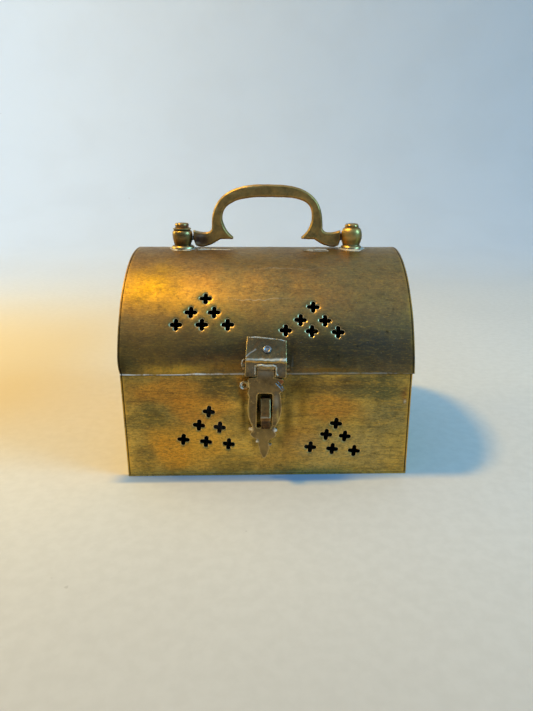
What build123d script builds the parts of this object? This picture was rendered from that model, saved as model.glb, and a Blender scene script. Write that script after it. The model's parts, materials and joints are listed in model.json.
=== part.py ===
"""Pierced brass trinket chest: a sheet-metal box under a hinged barrel lid.

The origin is the centre of the underside. +X is to the right, -Y is the front and +Z is up.
Lengths are in millimetres. Points in a side section are (outward, up), where outward is -Y.
"""

from build123d import *
from math import cos, degrees, radians, sin
import os

# ---- sheet metal ------------------------------------------------------------------------
SHEET = 0.8
LID_WIDTH = 108.0
LID_HALF_DEPTH = 47.4
LIP_Z = 41.4
LID_RISE = 40.1
LID_TOP_Z = LIP_Z + LID_RISE
VAULT_R = (LID_HALF_DEPTH**2 + LID_RISE**2) / (2 * LID_RISE)
VAULT_INNER_R = VAULT_R - SHEET
VAULT_Z = LID_TOP_Z - VAULT_R
BODY_WIDTH = 107.0
BODY_HALF_DEPTH = 46.3
FRONT_RIM_RISE = 0.8
FRONT_RIM_Z = LIP_Z + FRONT_RIM_RISE
RIM_GAP = 0.05
RIM_Z = LIP_Z - RIM_GAP
BODY_INNER_X = BODY_WIDTH / 2 - SHEET
LID_INNER_X = LID_WIDTH / 2 - SHEET
SEAT_GAP = 0.02

# ---- pierced quatrefoils ----------------------------------------------------------------
LOBE_SPAN = 4.75
LOBE_WIDTH = 1.7
ROW_COUNTS = (3, 2, 1)
# A group is its tilt in degrees and a (centre, height, pitch) for each of its rows.
# Height is z on the walls, and arc length above the vault's centre line on the vault.
BODY_GROUPS = (
    (-6.8, ((-23.4, 14.1, 8.55), (-21.9, 20.5, 7.75), (-21.9, 26.4, 0.0))),
    (-5.8, ((24.6, 10.6, 8.45), (25.7, 16.3, 7.1), (25.8, 21.2, 0.0))),
)
LID_GROUPS = (
    (0.0, ((-23.8, 26.5, 9.4), (-23.7, 31.35, 8.5), (-22.8, 37.2, 0.0))),
    (-2.2, ((16.4, 23.9, 9.6), (16.8, 28.1, 9.0), (17.1, 33.5, 0.0))),
)
BODY_END_GROUP = (0.0, ((0.0, 14.0, 9.0), (0.0, 20.0, 8.5), (0.0, 26.0, 0.0)))
LID_END_GROUP = (0.0, ((0.0, 52.0, 9.0), (0.0, 57.5, 8.5), (0.0, 63.0, 0.0)))

# ---- rear hinges ------------------------------------------------------------------------
HINGE_XS = (-30.0, 30.0)
HINGE_WIDTH = 18.0
CENTRE_KNUCKLE = 6.6
KNUCKLE_GAP = 0.2
KNUCKLE_R = 1.9
HINGE_PIN_R = 0.85
HINGE_PIN_LENGTH = 19.6
HINGE_PIN_CHAMFER = 0.2
RUNNING = 0.05
LEAF = 1.0
KNUCKLE_WALL_GAP = 0.1
KNUCKLE_LEAF_GAP = 0.3
PIN_BELOW_LIP = 2.0
HINGE_Y = BODY_HALF_DEPTH + KNUCKLE_R + KNUCKLE_WALL_GAP
HINGE_Z = LIP_Z - PIN_BELOW_LIP
LOWER_LEAF_BOTTOM_Z = 30.0
LOWER_LEAF_TOP_Z = HINGE_Z - KNUCKLE_R - KNUCKLE_LEAF_GAP
UPPER_LEAF_BOTTOM_Z = HINGE_Z + KNUCKLE_R + KNUCKLE_LEAF_GAP
UPPER_LEAF_TOP_Z = 51.0
BODY_RIVET_Z = 33.4
LID_RIVET_ANGLE = 15.5
RIVET_OFFSET_X = 5.5
SMALL_RIVET = (0.7, 1.25, 0.6)  # shank radius, head radius, head height

# ---- handle and its posts ---------------------------------------------------------------
HANDLE_Y = -1.0
HANDLE_THICKNESS = 3.4
PIVOT_Z = 85.6
PIVOT_R = 0.9
PIVOT_START_X = 27.0
PIVOT_LENGTH = 9.0
PIVOT_END_GAP = 0.4
POST_X = 35.1
COLLAR_R = 4.5
COLLAR_TOP_Z = 83.1
COLLAR_ROOT_Z = LID_TOP_Z - 1.0  # below the crown; the vault then cuts it to fit
BARREL_FOOT_R = 3.4
BARREL_R = 3.95
BARREL_MID_Z = 86.3
BARREL_NECK_R = 3.1
BARREL_NECK_Z = 89.8
CAP_R = 2.95
CAP_FOOT_Z = 90.0
CAP_MID = (2.8, 91.1)
POST_TOP_Z = 91.7
POST_TOP_R = 2.2
SHANK_R = 1.5
PEEN_R = 2.3
PEEN_Z = 78.8
WASHER_R = 4.0
WASHER_Z = 79.7

# ---- latch: bracket and hasp on the lid, staple on the body -------------------------------
LATCH_TILT = 2.2
LATCH_X = -0.5
PIN_OUT = 48.25
PIN_Z = 44.6
HASP_PIN_R = 0.75
HASP_PIN_LENGTH = 17.0
HASP_PIN_HEAD_R = 1.3
BRACKET_WIDTH = 15.1
BRACKET_TOP = (-3.65, 9.6)
BRACKET_FOLD = (2.35, 2.6)
BRACKET_BOTTOM = -2.5
BRACKET_ROOT = ((-7.65, 0.0), (-6.65, 8.6))  # behind the vault face, which cuts it to fit
NOTCH_WIDTH = 6.7
NOTCH_TOP = 0.85
BRACKET_RIVET = (0.9, 1.6, 0.7)  # shank radius, head radius, head height
BRACKET_RIVET_GRIP = 4.35
TONGUE_WIDTH = 6.4
TONGUE_R = 1.45
TONGUE_ROOM = 0.15
PLATE_BACK = -0.4
PLATE = 1.2
SLOT_TOP = -10.25
SLOT_BOTTOM = -24.7
SLOT_WIDTH = 5.6
LEFT_EAR = (-7.4, -7.0)
LEFT_EAR_R = 1.6
LEFT_EAR_HOLE_R = 0.65
EAR_ARM = (-5.6, -7.6)
EAR_ARM_SIZE = (2.6, 2.0)
RIGHT_EAR = (5.5, -8.4)
RIGHT_EAR_R = 1.5
LOBE_NICK = (4.9, -23.6)
LOBE_NICK_R = 1.0
TAIL_NICK = (3.1, -29.1)
TAIL_NICK_R = 0.8
STAPLE_X = -0.7
STAPLE_WIDTH = 3.7
STAPLE_ROOT = (21.0, 32.6)
STAPLE_FACETS = ((48.9, 32.7), (53.3, 26.8), (53.3, 25.8), (49.0, 20.9))
EYE_OUT = 50.65
EYE_Z = 26.6
EYE_R = 1.4
STAPLE_SHANK_R = 1.2
STAPLE_SHANK_Z = 27.0
STAPLE_PEEN_R = 1.9
STAPLE_WASHER_R = 3.0
STAPLE_WASHER = 0.8


# ---- construction planes ----------------------------------------------------------------
def wall_plane(side):
    """Outer face of a long wall, seen from outside; side is -1 front, 1 back."""
    return Plane(origin=(0, side * BODY_HALF_DEPTH, 0), x_dir=(-side, 0, 0), z_dir=(0, side, 0))


def end_plane(side, half_width):
    """Outer face of an end wall, seen from outside; side is -1 left, 1 right."""
    return Plane(origin=(side * half_width, 0, 0), x_dir=(0, side, 0), z_dir=(side, 0, 0))


def vault_plane(x, angle, side, radius=VAULT_R):
    """Plane square to the vault, at an angle above its centre line; side is -1 front, 1 back."""
    outward = Vector(0, side * cos(radians(angle)), sin(radians(angle)))
    origin = Vector(x, 0, VAULT_Z) + outward * radius
    return Plane(origin=origin, x_dir=(-side, 0, 0), z_dir=outward)


def front_section(x):
    """Side section at x, with outward (-Y) to its right and +Z up."""
    return Plane(origin=(x, 0, 0), x_dir=(0, -1, 0), z_dir=(-1, 0, 0))


LATCH_RIGHT = Vector(cos(radians(LATCH_TILT)), 0, -sin(radians(LATCH_TILT)))
HASP_PIN_CENTRE = Vector(LATCH_X, -PIN_OUT, PIN_Z)
# The latch sits slightly askew: its section is square to its pin, and its face holds the pin.
latch_section = Plane(origin=HASP_PIN_CENTRE, x_dir=(0, -1, 0), z_dir=-LATCH_RIGHT)
latch_face = Plane(origin=HASP_PIN_CENTRE, x_dir=LATCH_RIGHT, z_dir=(0, -1, 0))


# ---- shared features --------------------------------------------------------------------
def hole_spots(group):
    """(across, height, tilt) of each quatrefoil in a group of three rows."""
    tilt, rows = group
    spots = []
    for count, (centre, height, pitch) in zip(ROW_COUNTS, rows):
        for i in range(count):
            along = (i - (count - 1) / 2) * pitch
            across = centre + along * cos(radians(tilt))
            spots.append((across, height + along * sin(radians(tilt)), tilt))
    return spots


def cut_quatrefoils(plane, spots):
    """Cuts quatrefoils, each two crossed slots, through the sheet being built."""
    with BuildSketch(plane) as outlines:
        for across, height, tilt in spots:
            with Locations(Location((across, height, 0), (0, 0, tilt))):
                SlotOverall(LOBE_SPAN, LOBE_WIDTH)
                SlotOverall(LOBE_SPAN, LOBE_WIDTH, rotation=90)
    extrude(outlines.sketch, amount=3 * SHEET, both=True, mode=Mode.SUBTRACT)


def cut_round(plane, radius, depth, spot=(0, 0)):
    """Cuts a round hole square to a plane, to the same depth on both of its sides."""
    with BuildSketch(plane) as outline:
        with Locations(spot):
            Circle(radius)
    extrude(outline.sketch, amount=depth, both=True, mode=Mode.SUBTRACT)


def vault_cylinder(radius, mode):
    """A long cylinder on the vault's centre line."""
    with Locations(Location((0, 0, VAULT_Z), (0, 90, 0))):
        Cylinder(radius, 2 * LID_WIDTH, mode=mode)


def add_rivet(plane, sizes, grip):
    """A domed rivet on a plane: its head stands outside, its peened tail is past the grip."""
    shank_r, head_r, head_h = sizes
    side = Plane(origin=plane.origin, x_dir=plane.x_dir, z_dir=-plane.y_dir)
    with BuildSketch(side) as profile:
        with BuildLine():
            TangentArc((0, head_h), (head_r, 0), tangent=(1, 0))
            Polyline(
                (head_r, 0),
                (shank_r, 0),
                (shank_r, -grip),
                (head_r, -grip),
                (head_r, -grip - head_h),
                (0, -grip - head_h),
                (0, head_h),
            )
        make_face()
    revolve(profile.sketch, axis=Axis(plane.origin, plane.z_dir))


def body_rivet_planes():
    """Planes of the rivets that hold the lower leaves, on the leaves' outer faces."""
    spots = [x + offset for x in HINGE_XS for offset in (-RIVET_OFFSET_X, RIVET_OFFSET_X)]
    y = BODY_HALF_DEPTH + LEAF
    return [Plane(origin=(x, y, BODY_RIVET_Z), x_dir=(-1, 0, 0), z_dir=(0, 1, 0)) for x in spots]


def lid_rivet_planes():
    """Planes of the rivets that hold the upper leaves, on the leaves' outer faces."""
    spots = [x + offset for x in HINGE_XS for offset in (-RIVET_OFFSET_X, RIVET_OFFSET_X)]
    radius = VAULT_R + SEAT_GAP + LEAF
    return [vault_plane(x, LID_RIVET_ANGLE, 1, radius) for x in spots]


def bracket_rivet_plane():
    """Plane of the bracket's rivet, in the middle of the bracket's sloping face."""
    run = BRACKET_FOLD[0] - BRACKET_TOP[0]
    drop = BRACKET_TOP[1] - BRACKET_FOLD[1]
    middle = latch_section.from_local_coords((BRACKET_TOP[0] + run / 2, BRACKET_TOP[1] - drop / 2, 0))
    outward = latch_section.x_dir * drop + latch_section.y_dir * run
    return Plane(origin=middle, x_dir=LATCH_RIGHT, z_dir=outward)


# ---- body -------------------------------------------------------------------------------
with BuildPart() as base_plate:
    with BuildSketch():
        Rectangle(BODY_WIDTH, 2 * BODY_HALF_DEPTH)
    extrude(amount=SHEET)

with BuildPart() as body_front:
    with BuildSketch(wall_plane(-1)):
        with Locations((0, (SHEET + FRONT_RIM_Z) / 2)):
            Rectangle(2 * BODY_INNER_X, FRONT_RIM_Z - SHEET)
    extrude(amount=-SHEET)
    for body_group in BODY_GROUPS:
        cut_quatrefoils(wall_plane(-1), hole_spots(body_group))
    cut_round(wall_plane(-1), STAPLE_SHANK_R + SEAT_GAP, 2 * SHEET, (STAPLE_X, STAPLE_SHANK_Z))

with BuildPart() as body_back:
    with BuildSketch(wall_plane(1)):
        with Locations((0, (SHEET + RIM_Z) / 2)):
            Rectangle(2 * BODY_INNER_X, RIM_Z - SHEET)
    extrude(amount=-SHEET)
    for body_group in BODY_GROUPS:
        cut_quatrefoils(wall_plane(1), hole_spots(body_group))
    for rivet_plane in body_rivet_planes():
        cut_round(rivet_plane, SMALL_RIVET[0] + SEAT_GAP, 3 * SHEET)


def make_body_end(side):
    """An end wall of the body, which also covers the ends of the long walls."""
    with BuildPart() as panel:
        face = end_plane(side, BODY_WIDTH / 2)
        with BuildSketch(face):
            with Locations((0, (SHEET + RIM_Z) / 2)):
                Rectangle(2 * BODY_HALF_DEPTH, RIM_Z - SHEET)
        extrude(amount=-SHEET)
        cut_quatrefoils(face, hole_spots(BODY_END_GROUP))
    return panel


body_end_left = make_body_end(-1)
body_end_right = make_body_end(1)

# ---- lid --------------------------------------------------------------------------------
with BuildPart() as lid_vault:
    with BuildSketch(front_section(0)):
        with Locations((0, VAULT_Z)):
            Circle(VAULT_R)
            Circle(VAULT_INNER_R, mode=Mode.SUBTRACT)
        with Locations((0, LIP_Z - VAULT_R)):
            Rectangle(4 * VAULT_R, 2 * VAULT_R, mode=Mode.SUBTRACT)
    extrude(amount=LID_INNER_X, both=True)
    for vault_side in (-1, 1):
        for lid_group in LID_GROUPS:
            for across, arc, spot_tilt in hole_spots(lid_group):
                spot_plane = vault_plane(-vault_side * across, degrees(arc / VAULT_R), vault_side)
                cut_quatrefoils(spot_plane, [(0, 0, spot_tilt)])
    for post_x in (-POST_X, POST_X):
        shank_plane = Plane.XY.offset(LID_TOP_Z)
        cut_round(shank_plane, SHANK_R + SEAT_GAP, 3 * SHEET, (post_x, HANDLE_Y))
    for rivet_plane in lid_rivet_planes():
        cut_round(rivet_plane, SMALL_RIVET[0] + SEAT_GAP, 3 * SHEET)
    cut_round(bracket_rivet_plane(), BRACKET_RIVET[0] + SEAT_GAP, 2 * BRACKET_RIVET_GRIP)


def make_lid_end(side):
    """A segment-shaped end of the lid, which also covers the end of the vault."""
    with BuildPart() as panel:
        face = end_plane(side, LID_WIDTH / 2)
        with BuildSketch(face):
            with Locations((0, VAULT_Z)):
                Circle(VAULT_R)
            with Locations((0, LIP_Z - VAULT_R)):
                Rectangle(4 * VAULT_R, 2 * VAULT_R, mode=Mode.SUBTRACT)
        extrude(amount=-SHEET)
        cut_quatrefoils(face, hole_spots(LID_END_GROUP))
    return panel


lid_end_left = make_lid_end(-1)
lid_end_right = make_lid_end(1)


# ---- rear hinges ------------------------------------------------------------------------
def make_lower_leaf(x):
    """The leaf on the back wall, with the middle knuckle, which grips the pin."""
    with BuildPart() as leaf:
        with BuildSketch(Plane.YZ.offset(x)):
            with Locations((BODY_HALF_DEPTH + LEAF / 2, (LOWER_LEAF_BOTTOM_Z + LOWER_LEAF_TOP_Z) / 2)):
                Rectangle(LEAF, LOWER_LEAF_TOP_Z - LOWER_LEAF_BOTTOM_Z)
        extrude(amount=HINGE_WIDTH / 2, both=True)
        with BuildSketch(Plane.YZ.offset(x)):
            with Locations((HINGE_Y, HINGE_Z)):
                Circle(KNUCKLE_R)
            web_bottom = LOWER_LEAF_TOP_Z - LEAF
            with Locations((HINGE_Y - KNUCKLE_R + LEAF / 2, (web_bottom + HINGE_Z) / 2)):
                Rectangle(LEAF, HINGE_Z - web_bottom)
            with Locations((HINGE_Y, HINGE_Z)):
                Circle(HINGE_PIN_R + SEAT_GAP, mode=Mode.SUBTRACT)
        extrude(amount=CENTRE_KNUCKLE / 2, both=True)
        for plane in body_rivet_planes():
            cut_round(plane, SMALL_RIVET[0] + SEAT_GAP, 2 * LEAF)
    return leaf


def make_upper_leaf(x):
    """The leaf on the vault, with the two outer knuckles, which turn on the pin."""
    leaf_inner_r = VAULT_R + SEAT_GAP
    with BuildPart() as leaf:
        with BuildSketch(Plane.YZ.offset(x)):
            with Locations((0, VAULT_Z)):
                Circle(leaf_inner_r + LEAF)
                Circle(leaf_inner_r, mode=Mode.SUBTRACT)
            with Locations((VAULT_R, (UPPER_LEAF_BOTTOM_Z + UPPER_LEAF_TOP_Z) / 2)):
                Rectangle(VAULT_R, UPPER_LEAF_TOP_Z - UPPER_LEAF_BOTTOM_Z, mode=Mode.INTERSECT)
        extrude(amount=HINGE_WIDTH / 2, both=True)
        knuckle_inner_x = CENTRE_KNUCKLE / 2 + KNUCKLE_GAP
        web_y = LID_HALF_DEPTH + LEAF / 2 + KNUCKLE_WALL_GAP
        web_top = UPPER_LEAF_BOTTOM_Z + LEAF
        for outer_side in (-1, 1):
            with BuildSketch(Plane.YZ.offset(x + outer_side * knuckle_inner_x)):
                with Locations((HINGE_Y, HINGE_Z)):
                    Circle(KNUCKLE_R)
                with Locations((web_y, (HINGE_Z + web_top) / 2)):
                    Rectangle(LEAF, web_top - HINGE_Z)
                with Locations((HINGE_Y, HINGE_Z)):
                    Circle(HINGE_PIN_R + RUNNING, mode=Mode.SUBTRACT)
            extrude(amount=outer_side * (HINGE_WIDTH / 2 - knuckle_inner_x))
        for plane in lid_rivet_planes():
            cut_round(plane, SMALL_RIVET[0] + SEAT_GAP, 2 * LEAF)
    return leaf


def make_hinge_pin(x):
    """The plain pin of one rear hinge."""
    with BuildPart() as pin:
        with BuildSketch(Plane.YZ.offset(x)):
            with Locations((HINGE_Y, HINGE_Z)):
                Circle(HINGE_PIN_R)
        extrude(amount=HINGE_PIN_LENGTH / 2, both=True)
        chamfer(pin.edges(), HINGE_PIN_CHAMFER)
    return pin


hinge_left_lower_leaf = make_lower_leaf(HINGE_XS[0])
hinge_right_lower_leaf = make_lower_leaf(HINGE_XS[1])
hinge_left_upper_leaf = make_upper_leaf(HINGE_XS[0])
hinge_right_upper_leaf = make_upper_leaf(HINGE_XS[1])
hinge_left_pin = make_hinge_pin(HINGE_XS[0])
hinge_right_pin = make_hinge_pin(HINGE_XS[1])

with BuildPart() as hinge_body_rivets:
    for rivet_plane in body_rivet_planes():
        add_rivet(rivet_plane, SMALL_RIVET, LEAF + SHEET)

with BuildPart() as hinge_lid_rivets:
    for rivet_plane in lid_rivet_planes():
        add_rivet(rivet_plane, SMALL_RIVET, LEAF + SHEET + 3 * SEAT_GAP)


# ---- handle and posts -------------------------------------------------------------------
def make_post(side):
    """A turned post: collar shaped to the vault, barrel, cap, and a peened shank through the lid."""
    centre = (side * POST_X, HANDLE_Y, 0)
    with BuildPart() as post:
        with BuildSketch(Plane(origin=centre, x_dir=(1, 0, 0), z_dir=(0, -1, 0))):
            with BuildLine():
                Polyline(
                    (0, POST_TOP_Z),
                    (0, COLLAR_ROOT_Z),
                    (COLLAR_R, COLLAR_ROOT_Z),
                    (COLLAR_R, COLLAR_TOP_Z),
                    (BARREL_FOOT_R, COLLAR_TOP_Z),
                )
                ThreePointArc(
                    (BARREL_FOOT_R, COLLAR_TOP_Z),
                    (BARREL_R, BARREL_MID_Z),
                    (BARREL_NECK_R, BARREL_NECK_Z),
                )
                Line((BARREL_NECK_R, BARREL_NECK_Z), (CAP_R, CAP_FOOT_Z))
                ThreePointArc((CAP_R, CAP_FOOT_Z), CAP_MID, (POST_TOP_R, POST_TOP_Z))
                Line((POST_TOP_R, POST_TOP_Z), (0, POST_TOP_Z))
            make_face()
        revolve(axis=Axis(centre, (0, 0, 1)))
        vault_cylinder(VAULT_R + SEAT_GAP, Mode.SUBTRACT)
        with BuildSketch(Plane.XY.offset(PEEN_Z)):
            with Locations((side * POST_X, HANDLE_Y)):
                Circle(SHANK_R)
        extrude(amount=COLLAR_TOP_Z - PEEN_Z)
        with BuildSketch(Plane.XY.offset(PEEN_Z)):
            with Locations((side * POST_X, HANDLE_Y)):
                Circle(PEEN_R)
        extrude(amount=WASHER_Z - PEEN_Z)
        bore_end = PIVOT_START_X + PIVOT_LENGTH + PIVOT_END_GAP
        with BuildSketch(Plane.YZ.offset(side * bore_end)):
            with Locations((HANDLE_Y, PIVOT_Z)):
                Circle(PIVOT_R + RUNNING)
        extrude(amount=-side * PIVOT_LENGTH, mode=Mode.SUBTRACT)
    return post


handle_post_left = make_post(-1)
handle_post_right = make_post(1)

with BuildPart() as post_washers:
    with BuildSketch(Plane.XY.offset(WASHER_Z)):
        with Locations((-POST_X, HANDLE_Y), (POST_X, HANDLE_Y)):
            Circle(WASHER_R)
            Circle(SHANK_R + SEAT_GAP, mode=Mode.SUBTRACT)
    extrude(amount=2 * SHEET)
    vault_cylinder(VAULT_INNER_R - SEAT_GAP, Mode.INTERSECT)

with BuildPart() as handle:
    with BuildSketch(Plane.XZ.offset(-HANDLE_Y)):
        with BuildLine():
            # The bail's outer edge, then the up-curled end that takes the pivot.
            Spline(
                (0, 107.05),
                (10.0, 106.2),
                (17.7, 103.0),
                (21.6, 97.4),
                (23.1, 91.0),
                (23.8, 88.4),
                tangents=((1, 0), (0.2, -1)),
            )
            Spline((23.8, 88.4), (26.5, 88.1), (30.4, 88.8))
            Polyline((30.4, 88.8), (30.4, 84.0), (29.6, 82.3))
            # The foot's underside, the pointed spur, and the bail's inner edge.
            Spline((29.6, 82.3), (26.8, 82.0), (23.3, 82.9), (18.9, 85.2))
            Polyline((18.9, 85.2), (14.1, 85.2), (14.0, 85.7))
            Spline(
                (14.0, 85.7),
                (17.4, 89.3),
                (18.5, 93.2),
                (17.4, 97.6),
                (14.0, 100.6),
                (8.0, 101.9),
                (0, 102.1),
                tangents=((0.7, 1), (-1, 0)),
            )
            mirror(about=Plane.YZ)
        make_face()
    extrude(amount=HANDLE_THICKNESS / 2, both=True)
    for pivot_side in (-1, 1):
        cut_round(Plane.YZ.offset(pivot_side * (PIVOT_START_X + PIVOT_LENGTH / 2)),
                  PIVOT_R + SEAT_GAP, PIVOT_LENGTH / 2, (HANDLE_Y, PIVOT_Z))


def make_pivot(side):
    """A pin fixed in one end of the handle, which turns in the post."""
    with BuildPart() as pivot:
        with BuildSketch(Plane.YZ.offset(side * PIVOT_START_X)):
            with Locations((HANDLE_Y, PIVOT_Z)):
                Circle(PIVOT_R)
        extrude(amount=side * PIVOT_LENGTH)
    return pivot


handle_pivot_left = make_pivot(-1)
handle_pivot_right = make_pivot(1)

# ---- latch ------------------------------------------------------------------------------
with BuildPart() as hasp_bracket:
    with BuildSketch(latch_section):
        with BuildLine():
            Polyline(
                BRACKET_TOP,
                BRACKET_FOLD,
                (BRACKET_FOLD[0], BRACKET_BOTTOM),
                (BRACKET_TOP[0], BRACKET_BOTTOM),
                *BRACKET_ROOT,
                close=True,
            )
        make_face()
    extrude(amount=BRACKET_WIDTH / 2, both=True)
    room_r = TONGUE_R + TONGUE_ROOM
    with BuildSketch(latch_section):
        Circle(room_r)
        with Locations((room_r, 0)):
            Rectangle(4 * room_r, 4 * room_r, align=(Align.MAX, Align.MAX))
        with Locations((0, room_r)):
            Rectangle(3 * room_r, 2 * room_r, align=(Align.MAX, Align.MAX))
        with Locations((0, NOTCH_TOP)):
            Rectangle(3 * room_r, 4 * room_r, align=(Align.MIN, Align.MAX))
    extrude(amount=NOTCH_WIDTH / 2, both=True, mode=Mode.SUBTRACT)
    cut_round(latch_section, HASP_PIN_R + SEAT_GAP, BRACKET_WIDTH)
    vault_cylinder(VAULT_R + SEAT_GAP, Mode.SUBTRACT)
    cut_round(bracket_rivet_plane(), BRACKET_RIVET[0] + SEAT_GAP, 2 * BRACKET_RIVET_GRIP)

with BuildPart() as bracket_rivet:
    add_rivet(bracket_rivet_plane(), BRACKET_RIVET, BRACKET_RIVET_GRIP)

with BuildPart() as hasp_pin:
    with BuildSketch(latch_section):
        Circle(HASP_PIN_R)
    extrude(amount=HASP_PIN_LENGTH / 2, both=True)
    for head_side in (-1, 1):
        with BuildSketch(latch_section.offset(head_side * (BRACKET_WIDTH / 2 + SEAT_GAP))):
            Circle(HASP_PIN_HEAD_R)
        extrude(amount=head_side * (HASP_PIN_LENGTH - BRACKET_WIDTH) / 2)

with BuildPart() as hasp_plate:
    with BuildSketch(latch_face.offset(PLATE_BACK)):
        with BuildLine():
            # Half outline: tongue, shoulder, belly, waist, second lobe and pointed tail.
            Polyline((0, 0), (TONGUE_WIDTH / 2, 0), (TONGUE_WIDTH / 2, -3.9), (4.9, -5.0), (4.9, -10.2))
            Spline((4.9, -10.2), (6.3, -16.0), (4.6, -23.0))
            Line((4.6, -23.0), (4.6, -24.2))
            Spline((4.6, -24.2), (4.9, -25.8), (2.8, -28.6))
            Line((2.8, -28.6), (2.8, -29.6))
            Spline((2.8, -29.6), (2.2, -32.3), (0, -35.9))
            mirror(about=Plane.YZ)
        make_face()
        with Locations(LEFT_EAR):
            Circle(LEFT_EAR_R)
        with Locations(EAR_ARM):
            Rectangle(*EAR_ARM_SIZE)
        with Locations(RIGHT_EAR):
            Circle(RIGHT_EAR_R)
        with Locations(LEFT_EAR):
            Circle(LEFT_EAR_HOLE_R, mode=Mode.SUBTRACT)
        for nick_side in (-1, 1):
            with Locations((nick_side * LOBE_NICK[0], LOBE_NICK[1])):
                Circle(LOBE_NICK_R, mode=Mode.SUBTRACT)
            with Locations((nick_side * TAIL_NICK[0], TAIL_NICK[1])):
                Circle(TAIL_NICK_R, mode=Mode.SUBTRACT)
        with Locations((0, (SLOT_TOP + SLOT_BOTTOM) / 2)):
            Rectangle(SLOT_WIDTH, SLOT_TOP - SLOT_BOTTOM, mode=Mode.SUBTRACT)
    extrude(amount=PLATE)
    with BuildSketch(latch_section):
        Circle(TONGUE_R)
    extrude(amount=TONGUE_WIDTH / 2, both=True)
    cut_round(latch_section, HASP_PIN_R + RUNNING, TONGUE_WIDTH)

with BuildPart() as staple:
    with BuildSketch(front_section(STAPLE_X)):
        with BuildLine():
            Polyline(
                (BODY_HALF_DEPTH, STAPLE_ROOT[0]),
                (BODY_HALF_DEPTH, STAPLE_ROOT[1]),
                *STAPLE_FACETS,
                close=True,
            )
        make_face()
        with Locations((EYE_OUT, EYE_Z)):
            Circle(EYE_R, mode=Mode.SUBTRACT)
    extrude(amount=STAPLE_WIDTH / 2, both=True)
    shank_end = BODY_HALF_DEPTH - SHEET - STAPLE_WASHER
    with BuildSketch(Plane(origin=(0, -BODY_HALF_DEPTH, 0), z_dir=(0, -1, 0), x_dir=(1, 0, 0))):
        with Locations((STAPLE_X, STAPLE_SHANK_Z)):
            Circle(STAPLE_SHANK_R)
    extrude(amount=shank_end - BODY_HALF_DEPTH)
    with BuildSketch(Plane(origin=(0, -shank_end, 0), z_dir=(0, -1, 0), x_dir=(1, 0, 0))):
        with Locations((STAPLE_X, STAPLE_SHANK_Z)):
            Circle(STAPLE_PEEN_R)
    extrude(amount=-STAPLE_WASHER)

with BuildPart() as staple_washer:
    with BuildSketch(Plane(origin=(0, SHEET - BODY_HALF_DEPTH, 0), z_dir=(0, -1, 0), x_dir=(1, 0, 0))):
        with Locations((STAPLE_X, STAPLE_SHANK_Z)):
            Circle(STAPLE_WASHER_R)
            Circle(STAPLE_SHANK_R + SEAT_GAP, mode=Mode.SUBTRACT)
    extrude(amount=-STAPLE_WASHER)

# ---- export -----------------------------------------------------------------------------
PIECES = {
    "base_plate": base_plate,
    "body_front": body_front,
    "body_back": body_back,
    "body_end_left": body_end_left,
    "body_end_right": body_end_right,
    "lid_vault": lid_vault,
    "lid_end_left": lid_end_left,
    "lid_end_right": lid_end_right,
    "hinge_left_lower_leaf": hinge_left_lower_leaf,
    "hinge_right_lower_leaf": hinge_right_lower_leaf,
    "hinge_left_upper_leaf": hinge_left_upper_leaf,
    "hinge_right_upper_leaf": hinge_right_upper_leaf,
    "hinge_left_pin": hinge_left_pin,
    "hinge_right_pin": hinge_right_pin,
    "hinge_body_rivets": hinge_body_rivets,
    "hinge_lid_rivets": hinge_lid_rivets,
    "handle_post_left": handle_post_left,
    "handle_post_right": handle_post_right,
    "post_washers": post_washers,
    "handle": handle,
    "handle_pivot_left": handle_pivot_left,
    "handle_pivot_right": handle_pivot_right,
    "hasp_bracket": hasp_bracket,
    "bracket_rivet": bracket_rivet,
    "hasp_pin": hasp_pin,
    "hasp_plate": hasp_plate,
    "staple": staple,
    "staple_washer": staple_washer,
}

os.makedirs("parts", exist_ok=True)
for name, piece in PIECES.items():
    piece.part.label = name
    export_step(piece.part, f"parts/{name}.step")
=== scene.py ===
"""The looks of a small pierced brass chest with a barrel lid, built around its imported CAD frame.

Positions are worked out in millimetres from the CAD nodes' boxes, and turned into metres on meshes.
"""

import json
from math import asin, cos, exp, hypot, pi, radians, sin, sqrt

import bmesh
import bpy
import numpy as np
from mathutils import Matrix, Vector, noise
from mathutils.geometry import delaunay_2d_cdt


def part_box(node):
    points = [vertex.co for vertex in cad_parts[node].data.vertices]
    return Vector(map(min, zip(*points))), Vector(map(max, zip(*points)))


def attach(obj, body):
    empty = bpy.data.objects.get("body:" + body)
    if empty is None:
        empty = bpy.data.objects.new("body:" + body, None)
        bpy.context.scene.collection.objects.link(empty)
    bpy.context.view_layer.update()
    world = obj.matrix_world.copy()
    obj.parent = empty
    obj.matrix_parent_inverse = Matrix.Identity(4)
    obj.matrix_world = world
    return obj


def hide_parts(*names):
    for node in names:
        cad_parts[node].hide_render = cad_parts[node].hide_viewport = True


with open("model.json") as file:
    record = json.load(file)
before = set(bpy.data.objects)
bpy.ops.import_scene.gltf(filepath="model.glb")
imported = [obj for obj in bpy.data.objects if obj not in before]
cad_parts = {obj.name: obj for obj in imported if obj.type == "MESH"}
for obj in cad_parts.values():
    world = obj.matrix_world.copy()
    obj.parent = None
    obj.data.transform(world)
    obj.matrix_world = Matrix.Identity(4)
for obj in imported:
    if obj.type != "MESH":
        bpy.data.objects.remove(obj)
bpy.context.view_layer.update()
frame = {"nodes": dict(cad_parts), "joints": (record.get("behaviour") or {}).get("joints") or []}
MM = 0.001


# ---- sizes read from the frame ----
def box_mm(node):
    low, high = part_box(node)
    return Vector(low) / MM, Vector(high) / MM


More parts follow.
